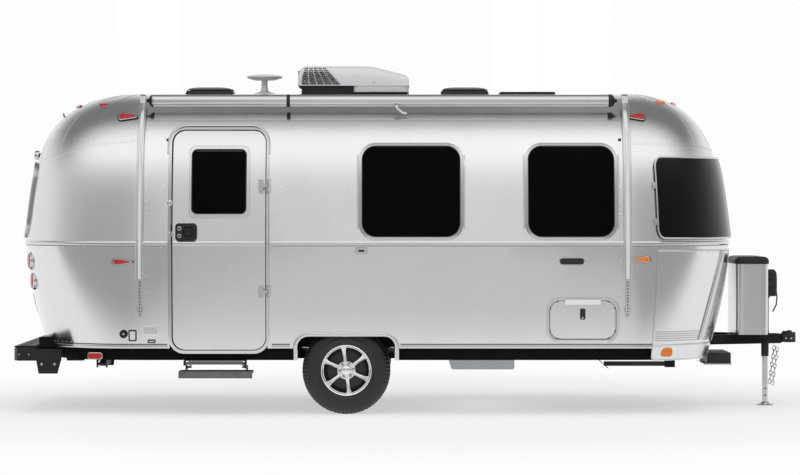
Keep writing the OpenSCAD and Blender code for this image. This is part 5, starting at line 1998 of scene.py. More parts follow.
    def spoke(self, draft: Draft, angle: float, h: float) -> None:
        """One spoke: a machined face with a shallow waist, and painted flanks."""
        stations = [(0.040, 0.022), (0.070, 0.0165), (0.100, 0.0140), (0.130, 0.0140),
                    (0.160, 0.0170), (0.178, 0.023),
                    (0.189, 0.032)]
        levels = [h - 0.014, h - 0.017, h - 0.019, h - 0.019, h - 0.016, h - 0.013, h - 0.012]
        face, edge, foot = [], [], []
        for (radius, half), out in zip(stations, levels):
            turn = math.degrees(half / radius)
            face.append([self.at(radius, angle - turn * 0.86, out),
                         self.at(radius, angle, out - 0.002),
                         self.at(radius, angle + turn * 0.86, out)])
            edge.append((self.at(radius, angle - turn, out - 0.005),
                         self.at(radius, angle + turn, out - 0.005)))
            foot.append((self.at(radius, angle - turn * 1.12, h - 0.066),
                         self.at(radius, angle + turn * 1.12, h - 0.066)))
        flip = self.side > 0
        draft.patch(face, 0, flip=flip)
        for s in (0, 1):
            inner = [row[0 if s == 0 else 2] for row in face]
            outer = [e[s] for e in edge]
            down = [f[s] for f in foot]
            draft.patch([inner, outer], 0, flip=(s == 0) == flip)
            draft.patch([outer, down], 1, flip=(s == 0) == flip)

    def hub(self, draft: Draft, h: float) -> None:
        """The centre: a boss with six nuts and a bright domed cap."""
        out = Vector((0, self.side, 0))
        base = Vector(self.at(0, 0, 0))
        draft.turned(base, out, [(0.078, h - 0.066), (0.074, h - 0.022), (0.066, h - 0.016),
                                 (0.044, h - 0.016), (0.044, h - 0.030)], 0, 48)
        for i in range(self.spokes):
            nut = Vector(self.at(0.057, self.first_spoke_deg + 30 + i * 60, 0))
            draft.turned(nut, out, [(0.0115, h - 0.017), (0.0115, h - 0.0165), (0.0105, h - 0.014)],
                         1, 18)
            draft.turned(nut, out, [(0.0085, h - 0.016), (0.0085, h - 0.004), (0.0060, h - 0.001),
                                    (0, h)], 0, 6)
        cap = [(0.0405, h - 0.030), (0.0405, h - 0.004)]
        cap += [(0.0405 * math.cos(t), h - 0.004 + 0.014 * math.sin(t)) for t in
                (math.radians(15 * i) for i in range(1, 7))]
        draft.turned(base, out, cap, 0, 36)


# ---- Roof and awning ----


@dataclass
class RoofGear:
    """The roof unit, the round antenna, the vents, the panel and the spike antenna."""

    floor_z: float = 2.716
    unit_long: float = 0.940
    louvre_rows: int = 9
    louvre_cells: int = 5
    panel: Opening = Opening(0.756, 1.213, -0.200, 0.200, 0.02)

    def build(self) -> None:
        """Builds everything on the roof."""
        self.roof_unit()
        self.antenna()
        self.vents()

    def roof_unit(self) -> None:
        """The white roof unit with its louvred rear half and black base."""
        low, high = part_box("air_conditioner")
        length, half = high.x - low.x, high.y
        floor_z = self.floor_z
        outline = [(0.0, 0.0), (0.002, 0.060), (0.008, 0.110), (0.022, 0.150), (0.050, 0.169),
                   (0.100, 0.1735),
                   (0.340, 0.174), (0.587, 0.172), (0.651, 0.165), (0.737, 0.144), (0.822, 0.123),
                   (0.886, 0.1055),
                   (0.918, 0.0905), (0.935, 0.064), (0.939, 0.030), (self.unit_long, 0.0)]
        draft = Draft()
        rows = []
        count = 24
        for u, rise in self.smooth(outline, 5):
            row = []
            for k in range(count + 1):
                t = math.pi * k / count
                side = power(math.cos(t), 0.38)
                lift = power(math.sin(t), 0.42) if 0 < k < count else 0.0
                y = half * side * (1 - 0.06 * lift)
                row.append((low.x + u * length / self.unit_long, y, floor_z + rise * lift))
            rows.append(row)
        draft.patch(rows, 0, flip=True)
        base = Opening(low.x + 0.030, high.x - 0.045, -half + 0.022, half - 0.022, 0.05)

        def flat(x: float, y: float, off: float) -> Point:
            """A point of a level plane above the roof."""
            return (x, y, 2.600 + off)

        draft.hoop(flat, base, [(0.0, 0.02), (0.0, 0.117)], 1, 8, 6)
        skirt = Opening(-0.500, high.x - 0.003, -half + 0.003, half - 0.003, 0.06)
        draft.hoop(flat, skirt, [(-0.02, 0.062), (0.0, 0.066), (0.0, 0.117)], 0, 8, 6)
        self.louvres(draft, low, half)
        for x in (low.x + 0.06, low.x + 0.33, high.x - 0.30):
            for side in (-1, 1):
                at = (x, side * half * 0.997, floor_z + 0.035)
                draft.turned(at, (0, side, 0), [(0.009, -0.004), (0.008, 0.002), (0, 0.003)], 2, 12)
        draft.make("roof_unit", "body", [WHITE, BLACK, OFF_WHITE], ["air_conditioner"], sharp=40)

    def smooth(self, line: Sequence[Flat], parts: int) -> list[Flat]:
        """A run of places with soft steps between the given ones."""
        found = [line[0]]
        for i in range(len(line) - 1):
            p0, p1 = line[max(0, i - 1)], line[i]
            p2, p3 = line[i + 1], line[min(len(line) - 1, i + 2)]
            for k in range(1, parts + 1):
                t = k / parts
                found.append(tuple(
                    0.5 * (2 * b + (c - a) * t + (2 * a - 5 * b + 4 * c - d) * t * t
                           + (3 * b - a - 3 * c + d) * t**3)
                    for a, b, c, d in zip(p0, p1, p2, p3)))
        return found

    def louvres(self, draft: Draft, low: Vector, half: float) -> None:
        """The rows of dark slots on both flanks of the roof unit."""
        floor_z, cells = self.floor_z, self.louvre_cells
        for side in (-1, 1):
            for i in range(self.louvre_rows):
                z = floor_z + 0.012 + i * 0.0162
                start = low.x + 0.030 + 0.0004 * i * i
                stop = low.x + 0.360 - 0.0145 * i
                for c in range(cells):
                    a = start + (stop - start) * c / cells + 0.004
                    b = start + (stop - start) * (c + 1) / cells - 0.004
                    y = side * (
                        half * (1.0 - 0.06 * power(max(0.0, (z - floor_z) / 0.174), 2.0)) + 0.0015)
                    draft.box((a, min(y - 0.003, y + 0.003), z),
                              (b, max(y - 0.003, y + 0.003), z + 0.0085), 1)
        for i in range(self.louvre_rows):
            z = floor_z + 0.020 + i * 0.013
            draft.box((low.x - 0.001, -half * 0.62, z),
                      (low.x + 0.010 + 0.002 * i, half * 0.62, z + 0.006), 1)

    def antenna(self) -> None:
        """The flat round antenna on its stalk."""
        low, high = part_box("dome_antenna")
        x, r = (low.x + high.x) / 2, (high.x - low.x) / 2
        draft = Draft()
        draft.turned((x, 0, 0), (0, 0, 1), [
            (0.010, high.z - 0.056), (r * 0.55, high.z - 0.052), (r * 0.93, high.z - 0.036),
            (r, high.z - 0.026),
            (r * 0.985, high.z - 0.019), (r * 0.80, high.z - 0.010), (r * 0.45, high.z - 0.003),
            (0, high.z)], 0, 64)
        draft.turned((x, 0, 0), (0, 0, 1), [
            (0.090, 2.650), (0.090, 2.662), (0.060, 2.672), (0.034, 2.684), (0.027, 2.720),
            (0.026, high.z - 0.05)],
            1, 40)
        for i in range(6):
            t = math.tau * i / 6
            draft.turned((x + 0.076 * math.cos(t), 0.076 * math.sin(t), 2.662), (0, 0, 1),
                         [(0.006, -0.002), (0.005, 0.003), (0, 0.0035)], 1, 8)
        draft.make("round_antenna", "body", [WHITE, OFF_WHITE], ["dome_antenna"], sharp=40)
        spike = Draft()
        spike.rod([(-2.915, -0.30, 2.395), (-2.935, -0.30, 2.485)], 0.006, 0, 10)
        spike.turned((-2.912, -0.30, 2.382), (-0.35, 0, 1),
                     [(0.022, -0.012), (0.020, 0.012), (0.008, 0.020), (0, 0.020)], 0, 20)
        spike.make("spike_antenna", "body", [BLACK], sharp=40)

    def vents(self) -> None:
        """The two vents with smoked lids, and the flat panel."""
        draft = Draft()

        def level(x: float, y: float, off: float) -> Point:
            """A point of a level plane, off metres above the ground."""
            return (x, y, off)

        for word in ("rear", "front"):
            low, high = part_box(f"{word}_vent_lid")
            half = (high.y - low.y) / 2 + 0.010
            mid = (low.x + high.x - 0.010) / 2
            rim = Opening(mid - half, mid + half, -half, half, 0.03)
            draft.hoop(level, rim, [(0.016, 2.628), (0.016, 2.652), (0.006, 2.660), (0.0, 2.682),
                                    (-0.010, 2.682), (-0.024, 2.660), (-0.026, 2.600)], 0, 6, 6)
            lid = Draft()
            top = Opening(low.x, high.x - 0.010, low.y, high.y, 0.03)
            rows = [[(u, v, z) for u, v in top.loop(grow, 6, 6)] for grow, z in (
                (-0.006, 2.689), (0.0, 2.690), (-0.002, 2.695), (-0.020, 2.701), (-0.050, 2.708),
                (-0.085, 2.7135),
                (-0.125, high.z - 0.0005))]
            ids = lid.patch(rows, 0, closed=True)
            lid.cover(ids[-1], 0)
            under = lid.patch([[(u, v, z) for u, v in top.loop(grow, 6, 6)] for grow, z in (
                (-0.006, 2.689), (-0.010, 2.698), (-0.040, 2.704))], 0, closed=True, flip=True)
            lid.cover(under[-1], 0, flip=True)
            lid.rod([(high.x - 0.004, -0.12, 2.692), (high.x - 0.004, 0.12, 2.692)], 0.004, 1, 10)
            lid.box((high.x - 0.018, -0.10, 2.6905), (high.x - 0.004, 0.10, 2.6935), 1)
            lid.make(f"{word}_vent_dome", f"{word}_vent_lid", [SMOKED, BLACK], [f"{word}_vent_lid"],
                     sharp=50)
        panel = self.panel
        draft.raised(level, panel, [(0.01, 2.64), (0.01, 2.662), (0.0, 2.671), (-0.012, 2.671)], 0,
                     1, 3, 5, 8)
        draft.make("vent_bases", "body", [BLACK, SMOKED], ["roof_vents"], sharp=40)


@dataclass
class Awning:
    """The rolled awning under the roof's edge, with its arms."""

    roll_span: Flat = (-2.136, 1.647)
    bands: Flat = (-1.03, 1.62)
    arm_spans: tuple[Flat, ...] = ((-2.240, -2.181), (1.722, 1.788))
    rail_low: float = 0.793
    arm_low: float = 1.109
    arm_bend: float = 2.30
    arm_high: float = 2.500

    def build(self) -> None:
        """Builds the roller, its end castings and the arms."""
        low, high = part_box("awning_roller")
        y, z, r = (low.y + high.y) / 2, (low.z + high.z) / 2, (high.z - low.z) / 2
        draft = Draft()
        start, stop = self.roll_span
        xs = spread(start, stop, 0.12)
        count = 40
        rows = []
        for k in range(count + 1):
            t = math.tau * k / count
            rows.append([(x, y + r * 0.985 * math.cos(t), z + r * 0.985 * math.sin(t)) for x in xs])
        for k in range(count):
            t = math.degrees(math.tau * (k + 0.5) / count)
            finish = 1 if 178 < t < 222 else 0
            draft.patch(rows[k:k + 2], finish)
        cover = []
        for t in range(95, 226, 10):
            a = math.radians(t)
            cover.append([(x, y + r * math.cos(a), z + r * math.sin(a)) for x in xs])
        draft.patch(cover, 2)
        for x in (start, stop):
            turn = -1 if x < 0 else 1
            draft.turned((x, y, z), (turn, 0, 0), [(r, -0.012), (r, 0.004), (r * 0.8, 0.018),
                                                   (r * 0.45, 0.026), (0.014, 0.030),
                                                   (0.014, 0.046), (0, 0.046)], 1, 32)
        for x in self.bands:
            draft.turned((x, y, z), (1, 0, 0), [(r - 0.004, 0), (r + 0.0015, 0.001),
                                                (r + 0.0015, 0.030), (r - 0.004, 0.031)],
                         1, 32)
        draft.rod([(-0.120, y - r * 0.9, z - r * 0.70), (-0.118, y - r * 1.02, z - r * 1.10)],
                  0.009, 2, 8)
        draft.rod([(-0.135, y - r * 1.0, z - r * 0.95), (-0.075, y - r * 1.0, z - r * 2.00),
                   (-0.040, y - r * 1.0, z - r * 2.15)], 0.010, 2, 8)
        draft.make("awning_roll", "body", [OFF_WHITE, BLACK, TRIM], ["awning_roller"], sharp=35)
        arms = Draft()
        for x0, x1 in self.arm_spans:
            self.arm(arms, x0, x1, y, z, r)
        arms.make("awning_arm_set", "body", [TRIM, BLACK, OFF_WHITE], ["awning_arms"], sharp=35)

    def arm(self, draft: Draft, x0: float, x1: float, y: float, z: float, r: float) -> None:
        """One arm: an outer channel over a slim inner rail, with its casting at the top."""
        place = FORM.side_place(Side.KERB)
        zs = spread(self.arm_low, FORM.belt, 0.05) + spread(FORM.belt, self.arm_bend, 0.05)[1:]
        zs += spread(self.arm_bend, self.arm_high, 0.02)[1:]
        shape = [(x0, 0.006), (x0, 0.030), (x0 + 0.004, 0.034), (x0 + 0.016, 0.034),
                 (x0 + 0.018, 0.029),
                 (x1 - 0.018, 0.029), (x1 - 0.016, 0.034), (x1 - 0.004, 0.034), (x1, 0.030),
                 (x1, 0.006)]
        rows = [[place(x, h, off) for h in zs] for x, off in shape]
        draft.patch(rows[4:6], 2, flip=True)
        ids = draft.patch(rows, 0, flip=True, keep=lambda i, j: i != 4)
        draft.cover([row[0] for row in ids], 0)
        draft.cover([row[-1] for row in ids], 0, flip=True)
        low = spread(self.rail_low, self.arm_low, 0.04)
        slim = [(x0 + 0.016, 0.006), (x0 + 0.016, 0.024), (x1 - 0.016, 0.024), (x1 - 0.016, 0.006)]
        ids = draft.patch([[place(x, h, off) for h in low] for x, off in slim], 0, flip=True)
        draft.cover([row[0] for row in ids], 0)
        for h in spread(0.82, 1.08, 0.026):
            at = place((x0 + x1) / 2, h, 0.0242)
            draft.turned(at, (0, -1, 0), [(0.0055, -0.001), (0.0055, 0.0006), (0.0, 0.0006)], 1, 10)
        for h in (0.86, 1.50, 2.15):
            for turn in (-1, 1):
                foot = place((x0 + x1) / 2 + turn * 0.020, h, 0.0)
                draft.box((foot[0] - 0.006, foot[1] - 0.008, h - 0.020),
                          (foot[0] + 0.006, foot[1] + 0.002, h + 0.020), 0)
        top = place(x0, self.arm_high, 0.02)
        outline = [(x0 + 0.008, y - r * 1.02, z - r * 0.4), (x0 + 0.008, y - r * 0.8, z + r * 0.75),
                   (x0 + 0.008, y - r * 0.1, z + r * 1.04),
                   (x0 + 0.008, y + r * 0.72, z + r * 0.66),
                   (x0 + 0.008, y + r * 0.55, z - r * 0.5),
                   (x0 + 0.008, top[1] + 0.010, top[2] - 0.055),
                   (x0 + 0.008, top[1] - 0.024, top[2] - 0.050)]
        draft.prism(outline[::-1], (x1 - x0 - 0.016, 0, 0), 0)


# ---- Lamps ----


@dataclass
class Lamps:
    """The teardrop side lamps, the roof and skirt markers, and the tail lamps."""

    radius: float = 0.027
    tail_heights: Flat = (1.245, 1.080)
    tail_across: float = 0.60
    tail_radius: float = 0.066
    plate: Opening = Opening(-0.16, 0.16, 0.80, 0.96, 0.012)
    teardrops: tuple[tuple[End, float, float, float, int], ...] = (
        (End.REAR, -2.385, 0.122, 2.430, 1), (End.REAR, -2.400, 0.126, 1.248, 1),
        (End.FRONT, 1.892, -0.105, 2.430, 3), (End.FRONT, 1.910, -0.115, 1.268, 2),
    )

    def build(self) -> None:
        """Builds every lamp."""
        draft = Draft()
        for side in Side:
            for end, x, dx, z, lens in self.teardrops:
                self.teardrop(draft, end, side, x, dx, z, lens)
        self.markers(draft)
        self.tail(draft)
        draft.make("lamp_set", "body", [TRIM, RED_LENS, AMBER_LENS, RED_LENS, BLACK], ["lamps"],
                   sharp=40)

    def teardrop(self, draft: Draft, end: End, side: Side, x: float, dx: float, z: float,
                 lens: int) -> None:
        """One teardrop lamp: a bright base and a ribbed lens.

        Args:
            draft: The draft to add to.
            end: The end of the body it sits on.
            side: Which side.
            x: The middle of its round end.
            dx: How far away its point is.
            z: Its height.
            lens: The finish of its lens.
        """
        place = FORM.end_place(end)
        turn = -1 if dx > 0 else 1
        r = self.radius
        base = [(x + turn * r * math.sin(t), z + r * math.cos(t))
                for t in (math.radians(12 * i) for i in range(16))]
        tip = [(x + dx, z - 0.007), (x + dx + (0.003 if dx > 0 else -0.003), z),
               (x + dx, z + 0.007)]
        run = base + between(base[-1], tip[0], 6) + tip + between(tip[-1], base[0], 6)
        mid = (x + dx * 0.25, z)

        def loop(scale: float, off: float) -> list[Point]:
            """The outline drawn in towards its middle, at a distance off the skin."""
            spots = [(mid[0] + (u - mid[0]) * scale, mid[1] + (v - mid[1]) * scale) for u, v in run]
            return [place(FORM.end_angle(end, u, v, side), v, off) for u, v in spots]

        flip = (turn > 0) == (side is Side.KERB)
        draft.patch([loop(1.16, 0.0), loop(1.16, 0.006), loop(1.04, 0.009)], 4, True, flip)
        draft.patch([loop(1.04, 0.0), loop(1.04, 0.009), loop(0.93, 0.011), loop(0.88, 0.011)], 0,
                    True, flip)
        rows = [loop(0.88, 0.009), loop(0.86, 0.016), loop(0.78, 0.020), loop(0.5, 0.0215),
                loop(0.2, 0.022)]
        ids = draft.patch(rows, lens, True, flip)
        draft.cover(ids[-1], lens, flip)

    def markers(self, draft: Draft) -> None:
        """The markers on the roof's ends, on the skirt and on the front guards."""
        for end, angles, lens, z in ((End.REAR, (30, 70, 90, 110, 150), 1, 2.535),
                                     (End.FRONT, (38, 74, 90, 106, 142), 2, 2.560)):
            place = FORM.end_place(end)
            for angle in angles:
                at = Vector(place(angle, z, 0))
                out = normal_of(place, angle, z)
                along = Vector((-out.y, out.x, 0)).normalized()
                up = out.cross(along)
                self.bar(draft, at, out, along, up, (0.045, 0.016, 0.016), lens)
        for side in Side:
            s = side.value
            self.bar(draft, Vector((-2.585, s * 1.094, 0.478)), Vector((-0.25, s, 0)).normalized(),
                     Vector((1, 0.25 * s, 0)).normalized(), Vector((0, 0, 1)),
                     (0.060, 0.024, 0.014), 1)
            place = FORM.end_place(End.FRONT)
            angle = FORM.end_angle(End.FRONT, 2.085, 0.60, side)
            at, out = Vector(place(angle, 0.510, 0.004)), Vector((0.2, s, 0)).normalized()
            self.bar(draft, at, out, Vector((1, -0.2 * s, 0)).normalized(), Vector((0, 0, 1)),
                     (0.052, 0.036, 0.014), 2)

    def bar(self, draft: Draft, at: Vector, out: Vector, along: Vector, up: Vector, size: Point,
            lens: int) -> None:
        """A small oblong lamp with a rounded lens on a bright base."""
        half, high, depth = size
        outline = Opening(-half, half, -high, high, high * 0.7)

        def place(u: float, v: float, off: float) -> Point:
            """A point of the lamp's face."""
            return tuple(at + along * u + up * v + out * off)

        flip = along.cross(up).dot(out) < 0
        draft.hoop(place, outline, [(0.004, -0.012), (0.004, depth * 0.3), (0.0, depth * 0.4)], 0,
                   6, 4, flip)
        draft.raised(place, outline, [(0.0, depth * 0.3), (0.0, depth * 0.8), (-0.004, depth)],
                     lens, lens, 2, 6, 4, flip)

    def tail(self, draft: Draft) -> None:
        """The round tail lamps, the rear camera and the plate's blank bracket."""
        place = FORM.facing(End.REAR)
        for s in (-1, 1):
            for z in self.tail_heights:
                r, lens = self.tail_radius, 1
                at = Vector(place(s * self.tail_across, z, 0))
                out = (Vector((-1, s * 0.25, 0))).normalized()
                draft.turned(at, out, [(r + 0.010, -0.030), (r + 0.010, 0.008), (r, 0.014),
                                       (r * 0.96, 0.010)], 0, 36)
                draft.turned(at, out, [(r * 0.96, 0.006), (r * 0.9, 0.020), (r * 0.6, 0.027),
                                       (r * 0.3, 0.024), (0, 0.026)], lens, 36)
        at = Vector(place(0, 2.13, 0))
        out = Vector((-1, 0, 0.1)).normalized()
        draft.turned(at, out, [(0.030, -0.02), (0.026, 0.020), (0.020, 0.024), (0.020, 0.034)], 4,
                     20)
        draft.turned(at + out * 0.034, out, [(0.040, -0.004), (0.042, 0.020), (0.036, 0.034),
                                             (0.020, 0.038), (0.016, 0.032), (0, 0.034)], 0, 28)
        draft.raised(place, self.plate, [(0.0, -0.004), (0.0, 0.012), (-0.004, 0.014)], 4, 4, 3, 5,
                     6)


# ---- Bumper, nose and running gear ----


@dataclass
class Bumper:
    """The rear bumper's tray with its brackets, and the lid on top."""

    half: float = 1.0
    top: float = 0.538
    bottom: float = 0.433
    round_end: float = 0.05
    gauge: float = 0.006
    ribs: int = 13

    def build(self) -> None:
        """Builds the bumper and its lid."""
        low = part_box("rear_bumper")[0]
        half, top, bottom = self.half, self.top, self.bottom
        draft = Draft()

        def face(y: float, z: float, off: float) -> Point:
            """A point of the bumper's back, rounded away at its ends."""
            back = max(0.0, abs(y) - (half - self.round_end)) / self.round_end
            return (low.x + 0.004 - off + 0.030 * back * back, y, z)

        ys = spread(-half, half, 0.05, [-half + self.round_end, half - self.round_end])
        profile = [(bottom, -0.14), (bottom, -0.006), (0.438, 0.0), (0.500, 0.0), (0.531, 0.0),
                   (top, -0.006),
                   (top, -0.020)]
        draft.patch([[face(y, z, off) for y in ys] for z, off in profile], 0, flip=True)
        for s in (-1, 1):
            y = s * half
            x0, x1 = low.x + 0.034, -3.092
            a = sorted((y, y - s * self.gauge))
            draft.box((x0, a[0], bottom), (x1, a[1], top), 0)
            draft.box((x1, a[0], bottom), (-2.872, a[1], 0.530), 0)
            b = s * 0.990
            outline = [(-3.080, b, 0.436), (-3.060, b, 0.327), (-2.905, b, 0.327),
                       (-2.876, b, 0.436)]
            draft.prism(outline if s < 0 else outline[::-1], (0, s * self.gauge, 0), 0)
            for x in (-3.035, -2.93):
                draft.turned((x, s * 0.9965, 0.405), (0, s, 0),
                             [(0.012, -0.002), (0.012, 0.001), (0.009, 0.0035), (0, 0.0035)], 1, 6)
            for x in (-3.22, -3.14):
                draft.turned((x, s * 1.0, 0.485), (0, s, 0),
                             [(0.007, -0.001), (0.006, 0.002), (0, 0.003)], 1, 12)
        draft.make("bumper_tray", "body", [BUMPER, ZINC], ["rear_bumper"], sharp=35)
        lid = Draft()
        a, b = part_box("bumper_lid")
        xs = [a.x + 0.001, a.x + 0.008, (a.x + b.x) / 2, b.x - 0.012]
        zs = [b.z - 0.006, b.z + 0.0006, b.z + 0.0008, b.z + 0.0004]
        rows = [[(x, y, z) for y in spread(a.y + 0.004, b.y - 0.004, 0.05)] for x, z in zip(xs, zs)]
        lid.patch(rows, 0, flip=True)
        for i in range(self.ribs):
            y = a.y + 0.09 + i * (b.y - a.y - 0.18) / (self.ribs - 1)
            lid.prism([(a.x + 0.04, y - 0.006, b.z), (a.x + 0.04, y + 0.006, b.z),
                       (a.x + 0.04, y, b.z + 0.003)],
                      (b.x - a.x - 0.09, 0, 0), 0)
        lid.make("bumper_lid_ribs", "bumper_lid", [BUMPER], sharp=35)


@dataclass
class Nose:
    """The gas cover, the jack, the coupler, the chains and the pipe on the drawbar."""

    jack_tube: float = 0.0325
    jack_bore: float = 0.029
    leg_radius: float = 0.0249
    leg_top: float = 0.54
    foot_radius: float = 0.0725
    chain_links: int = 9
    link_wide: float = 0.0105
    link_wire: float = 0.0044

    def build(self) -> None:
        """Builds everything ahead of the body."""
        self.gas_cover()
        self.jack()
        self.hitch()
        self.chains()

    def gas_cover(self) -> None:
        """The bright cover over the gas bottles and its black cap."""
        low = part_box("gas_cover")[0]
        draft = Draft()
        loop = Opening(low.x, 3.014, -0.340, 0.340, 0.05)
        outer = [(u, v) for u, v in loop.loop(0.0, 8, 8) if not (abs(v) < 0.066 and u > 3.0)]
        cut = next(i for i in range(len(outer)) if outer[i][0] > 3.0 and outer[i - 1][0] > 3.0
                   and outer[i][1] * outer[i - 1][1] < 0)
        outer = outer[cut:] + outer[:cut]
        if outer[0][1] > 0:
            outer = outer[::-1]
        run = [(2.952, -0.068), (3.013, -0.068)] + outer + [(3.013, 0.068), (2.952, 0.068)]
        zs = [0.617, 0.628, 0.70, 0.80, 0.90, 1.0, 1.1, 1.18, 1.213]
        rows = [[(u, v, z) for u, v in run] for z in zs]
        area = sum(a[0] * b[1] - a[1] * b[0] for a, b in zip(run, run[1:] + run[:1]))
        draft.patch(rows, 0, closed=True, flip=area < 0)
        for z, grow in ((0.640, 0.0015), (1.196, 0.0015)):
            draft.patch([[(u + (grow if u > 2.9 else -grow), v + (grow if v > 0 else -grow), z + d)
                          for u, v in run]
                         for d in (-0.006, 0.006)], 0, closed=True, flip=area < 0)
        draft.make("gas_cover_sheet", "body", [DOOR_SHEET], ["gas_cover"], sharp=40)
        cap = Draft()
        c0, c1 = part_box("gas_cover_cap")
        lid = Opening(c0.x, c1.x, c0.y, c1.y, 0.055)
        rows = [[(u, v, z) for u, v in lid.loop(g, 8, 8)] for g, z in (
            (-0.010, c0.z + 0.002), (0.0, c0.z), (0.0, c0.z + 0.030), (-0.008, c1.z - 0.016),
            (-0.026, c1.z - 0.004),
            (-0.06, c1.z))]
        ids = cap.patch(rows, 0, closed=True)
        cap.cover(ids[-1], 0)
        cap.make("gas_cover_lid", "body", [BLACK], ["gas_cover_cap"], sharp=45)

    def jack(self) -> None:
        """The powered jack on its tube, and its moving leg."""
        x = (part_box("jack_leg")[0].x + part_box("jack_leg")[1].x) / 2
        tube, bore, thin, foot = self.jack_tube, self.jack_bore, self.leg_radius, self.foot_radius
        draft = Draft()
        draft.turned((x, 0, 0), (0, 0, 1), [(bore, 0.56), (bore, 0.421), (0.0315, 0.420),
                                            (tube, 0.424),
                                            (tube, 0.60), (0.034, 0.604), (0.034, 0.64),
                                            (tube, 0.644),
                                            (tube, 0.915), (0.044, 0.925), (0.044, 0.945)], 0, 32,
                     ends=False)
        draft.turned((x, 0, 0), (0, 0, 1), [(0.032, 0.588), (0.060, 0.588), (0.060, 0.602),
                                            (0.034, 0.604)], 0, 24,
                     ends=False)
        head = Opening(2.992, 3.128, -0.046, 0.046, 0.040)
        rows = [[(u, v, z) for u, v in head.loop(g, 8, 3)] for g, z in (
            (-0.012, 0.932), (-0.001, 0.946), (0.0, 1.00), (0.0, 1.08), (-0.003, 1.125),
            (-0.014, 1.152),
            (-0.030, 1.162))]
        ids = draft.patch(rows, 1, closed=True)
        draft.cover(ids[-1], 1)
        draft.cover(ids[0], 1, flip=True)
        draft.rod([(3.118, -0.02, 0.985), (3.126, -0.02, 0.93), (3.12, -0.02, 0.86),
                   (3.09, -0.02, 0.80)], 0.006, 1, 8)
        for s in (-1, 1):
            draft.turned((3.06, s * 0.046, 1.04), (0, s, 0),
                         [(0.020, -0.002), (0.020, 0.0015), (0.016, 0.003), (0, 0.003)], 2, 24)
            draft.box((3.035, min(s * 0.0455, s * 0.0475), 1.088),
                      (3.085, max(s * 0.0455, s * 0.0475), 1.102), 2)
        draft.make("jack_head", "body", [BLACK, BLACK, POCKET_PAINT_AND_SHADE], ["tongue_jack"], sharp=40)
        leg = Draft()
        leg.turned((x, 0, 0), (0, 0, 1), [(thin, 0.018), (thin, 0.30), (thin, self.leg_top)], 0, 32)
        leg.turned((x, 0, 0), (0, 0, 1), [(foot, 0.000), (foot, 0.007), (0.066, 0.0105),
                                          (0.040, 0.012), (0.034, 0.024), (0.0252, 0.030)], 0, 36)
        for z in (0.085, 0.145):
            leg.turned((x, -0.0245, z), (0, -1, 0), [(0.008, -0.001), (0.008, 0.001), (0, 0.001)],
                       1, 14)
        leg.make("jack_leg_tube", "jack_leg", [ZINC, BLACK], ["jack_leg"], sharp=40)

    def hitch(self) -> None:
        """The coupler's bolts and latch, the pipe under the nose and the drawbar's gussets."""
        low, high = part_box("coupler")
        draft = Draft()
        for x in (low.x + 0.03, low.x + 0.075):
            for s in (-1, 1):
                draft.turned((x, s * (high.y - 0.002), high.z - 0.05), (0, s, 0),
                             [(0.010, -0.002), (0.010, 0.003), (0.008, 0.005), (0, 0.005)], 0, 6)
        draft.turned((high.x - 0.055, 0, high.z), (0, 0, 1),
                     [(0.026, -0.004), (0.024, 0.008), (0.014, 0.016), (0, 0.017)], 1, 20)
        draft.box((low.x + 0.01, -0.014, high.z - 0.004), (high.x - 0.05, 0.014, high.z + 0.010), 1)
        draft.box((2.50, -0.30, 0.372), (2.70, 0.30, 0.462), 1)
        draft.box((2.47, -0.305, 0.362), (2.705, 0.305, 0.372), 2)
        draft.make("coupler_bolts", "body", [ZINC, BLACK, TRIM], sharp=40)

    def chains(self) -> None:
        """The two linked chains that hang from the drawbar."""
        low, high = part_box("safety_chains")
        draft = Draft()
        half = (high.y - low.y) / 2
        for s in (-1, 1):
            y = s * (half - 0.014)
            top, bottom = (Vector((low.x + 0.028, y, high.z - 0.03)),
                           Vector((high.x - 0.03, y, low.z + 0.03)))
            steps = self.chain_links
            for i in range(steps):
                t = (i + 0.5) / steps
                at = top.lerp(bottom, t)
                line = (bottom - top).normalized()
                across = Vector((0, 1, 0)) if i % 2 else line.cross(Vector((0, 1, 0))).normalized()
                run = []
                long, wide = (bottom - top).length / steps * 0.64, self.link_wide
                for k in range(16):
                    a = math.tau * k / 16
                    run.append(at + line * long * power(math.sin(a), 0.8)
                               + across * wide * power(math.cos(a), 0.8))
                draft.rod(run, self.link_wire, 0, 6, ring=True)
        draft.make("chain_links", "body", [ZINC], ["safety_chains"], sharp=50)


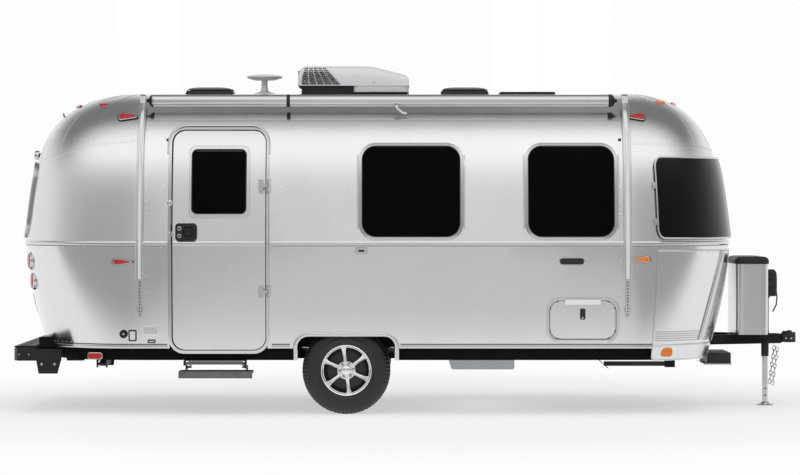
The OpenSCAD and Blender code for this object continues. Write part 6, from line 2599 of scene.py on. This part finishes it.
@dataclass
class EntryStep:
    """The grit on the swing-down step's tread."""

    pivot_z: float = 0.424
    arm_long: float = 0.215
    arm_deg: float = 12.0
    tread_drop: float = 0.022
    grit_start: float = 0.010
    grit_stop: float = 0.230

    def build(self) -> None:
        """Builds the tread's grit sheet."""
        low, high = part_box("step_tread")
        plate = Draft()

        def level(x: float, y: float, off: float) -> Point:
            """A point of the tread's plane."""
            return (x, y, off)

        z = self.tread_top()
        y0, y1 = low.y + self.grit_start, low.y + self.grit_stop
        grit = Opening(low.x + 0.012, high.x - 0.012, y0, y1, 0.012)
        plate.raised(level, grit, [(0.0, z - 0.001), (-0.001, z + 0.0015)], 0, 0, 3, 5, 10)
        plate.make("step_grit", "step_tread", [GRIT], sharp=40)

    def tread_top(self) -> float:
        """The height of the tread's flat top."""
        return self.pivot_z - self.arm_long * math.sin(math.radians(self.arm_deg)) - self.tread_drop


@dataclass
class KeptParts:
    """The parts that are shown as the CAD drew them, each with its own finish."""

    finishes: dict[str, Finish] = field(default_factory=dict)

    def dress(self) -> None:
        """Puts a finish on each kept part."""
        for name, finish in self.finishes.items():
            thing = bpy.data.objects.get(name)
            if thing is None:
                LOG.warning("no part called %s", name)
                continue
            for slot in thing.material_slots:
                slot.material = finish.material()
            LOG.info("%s is finished as %s", name, finish.name)


KEPT = {
    # belly_pan takes the near-black skirt finish, painted shade under the body's edge.
    "floor_panel": PLYWOOD, "belly_pan": SKIRT_PAINTED_SHADE, "chassis_rails": STEEL, "cross_members": STEEL,
    "drawbar": STEEL,
    # belly_tank takes the lightened tank grey, painted light against the shade under the body.
    "axle": STEEL, "wheel_wells": STEEL, "belly_tank": TANK_WITH_PAINTED_LIGHT, "stabiliser_mounts": STEEL,
    "step_frame": STEEL,
    "front_left_leg": LEG_STEEL, "front_right_leg": LEG_STEEL, "rear_left_leg": LEG_STEEL,
    "rear_right_leg": LEG_STEEL, "step_front_arms": STEP_STEEL, "step_rear_arms": STEP_STEEL,
    "step_tread": STEP_STEEL, "coupler": BLACK, "bumper_lid": BUMPER,
}


def main() -> None:
    """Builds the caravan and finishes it."""
    logging.basicConfig(level=logging.INFO, format="%(message)s")
    for label, piece in (
        ("body", BodyShell()), ("mouldings", Mouldings()), ("side windows", SideWindows()),
        ("wrap shields", WrapShields()), ("entry door", EntryDoor()), ("fittings", SmallFittings()),
        ("left wheel", Wheel("left")), ("right wheel", Wheel("right")), ("roof gear", RoofGear()),
        ("awning", Awning()), ("lamps", Lamps()), ("bumper", Bumper()), ("nose", Nose()),
        ("step", EntryStep()),
    ):
        piece.build()
        LOG.info("built the %s", label)
    KeptParts(KEPT).dress()
    Studio().build()


if __name__ == "__main__":
    main()
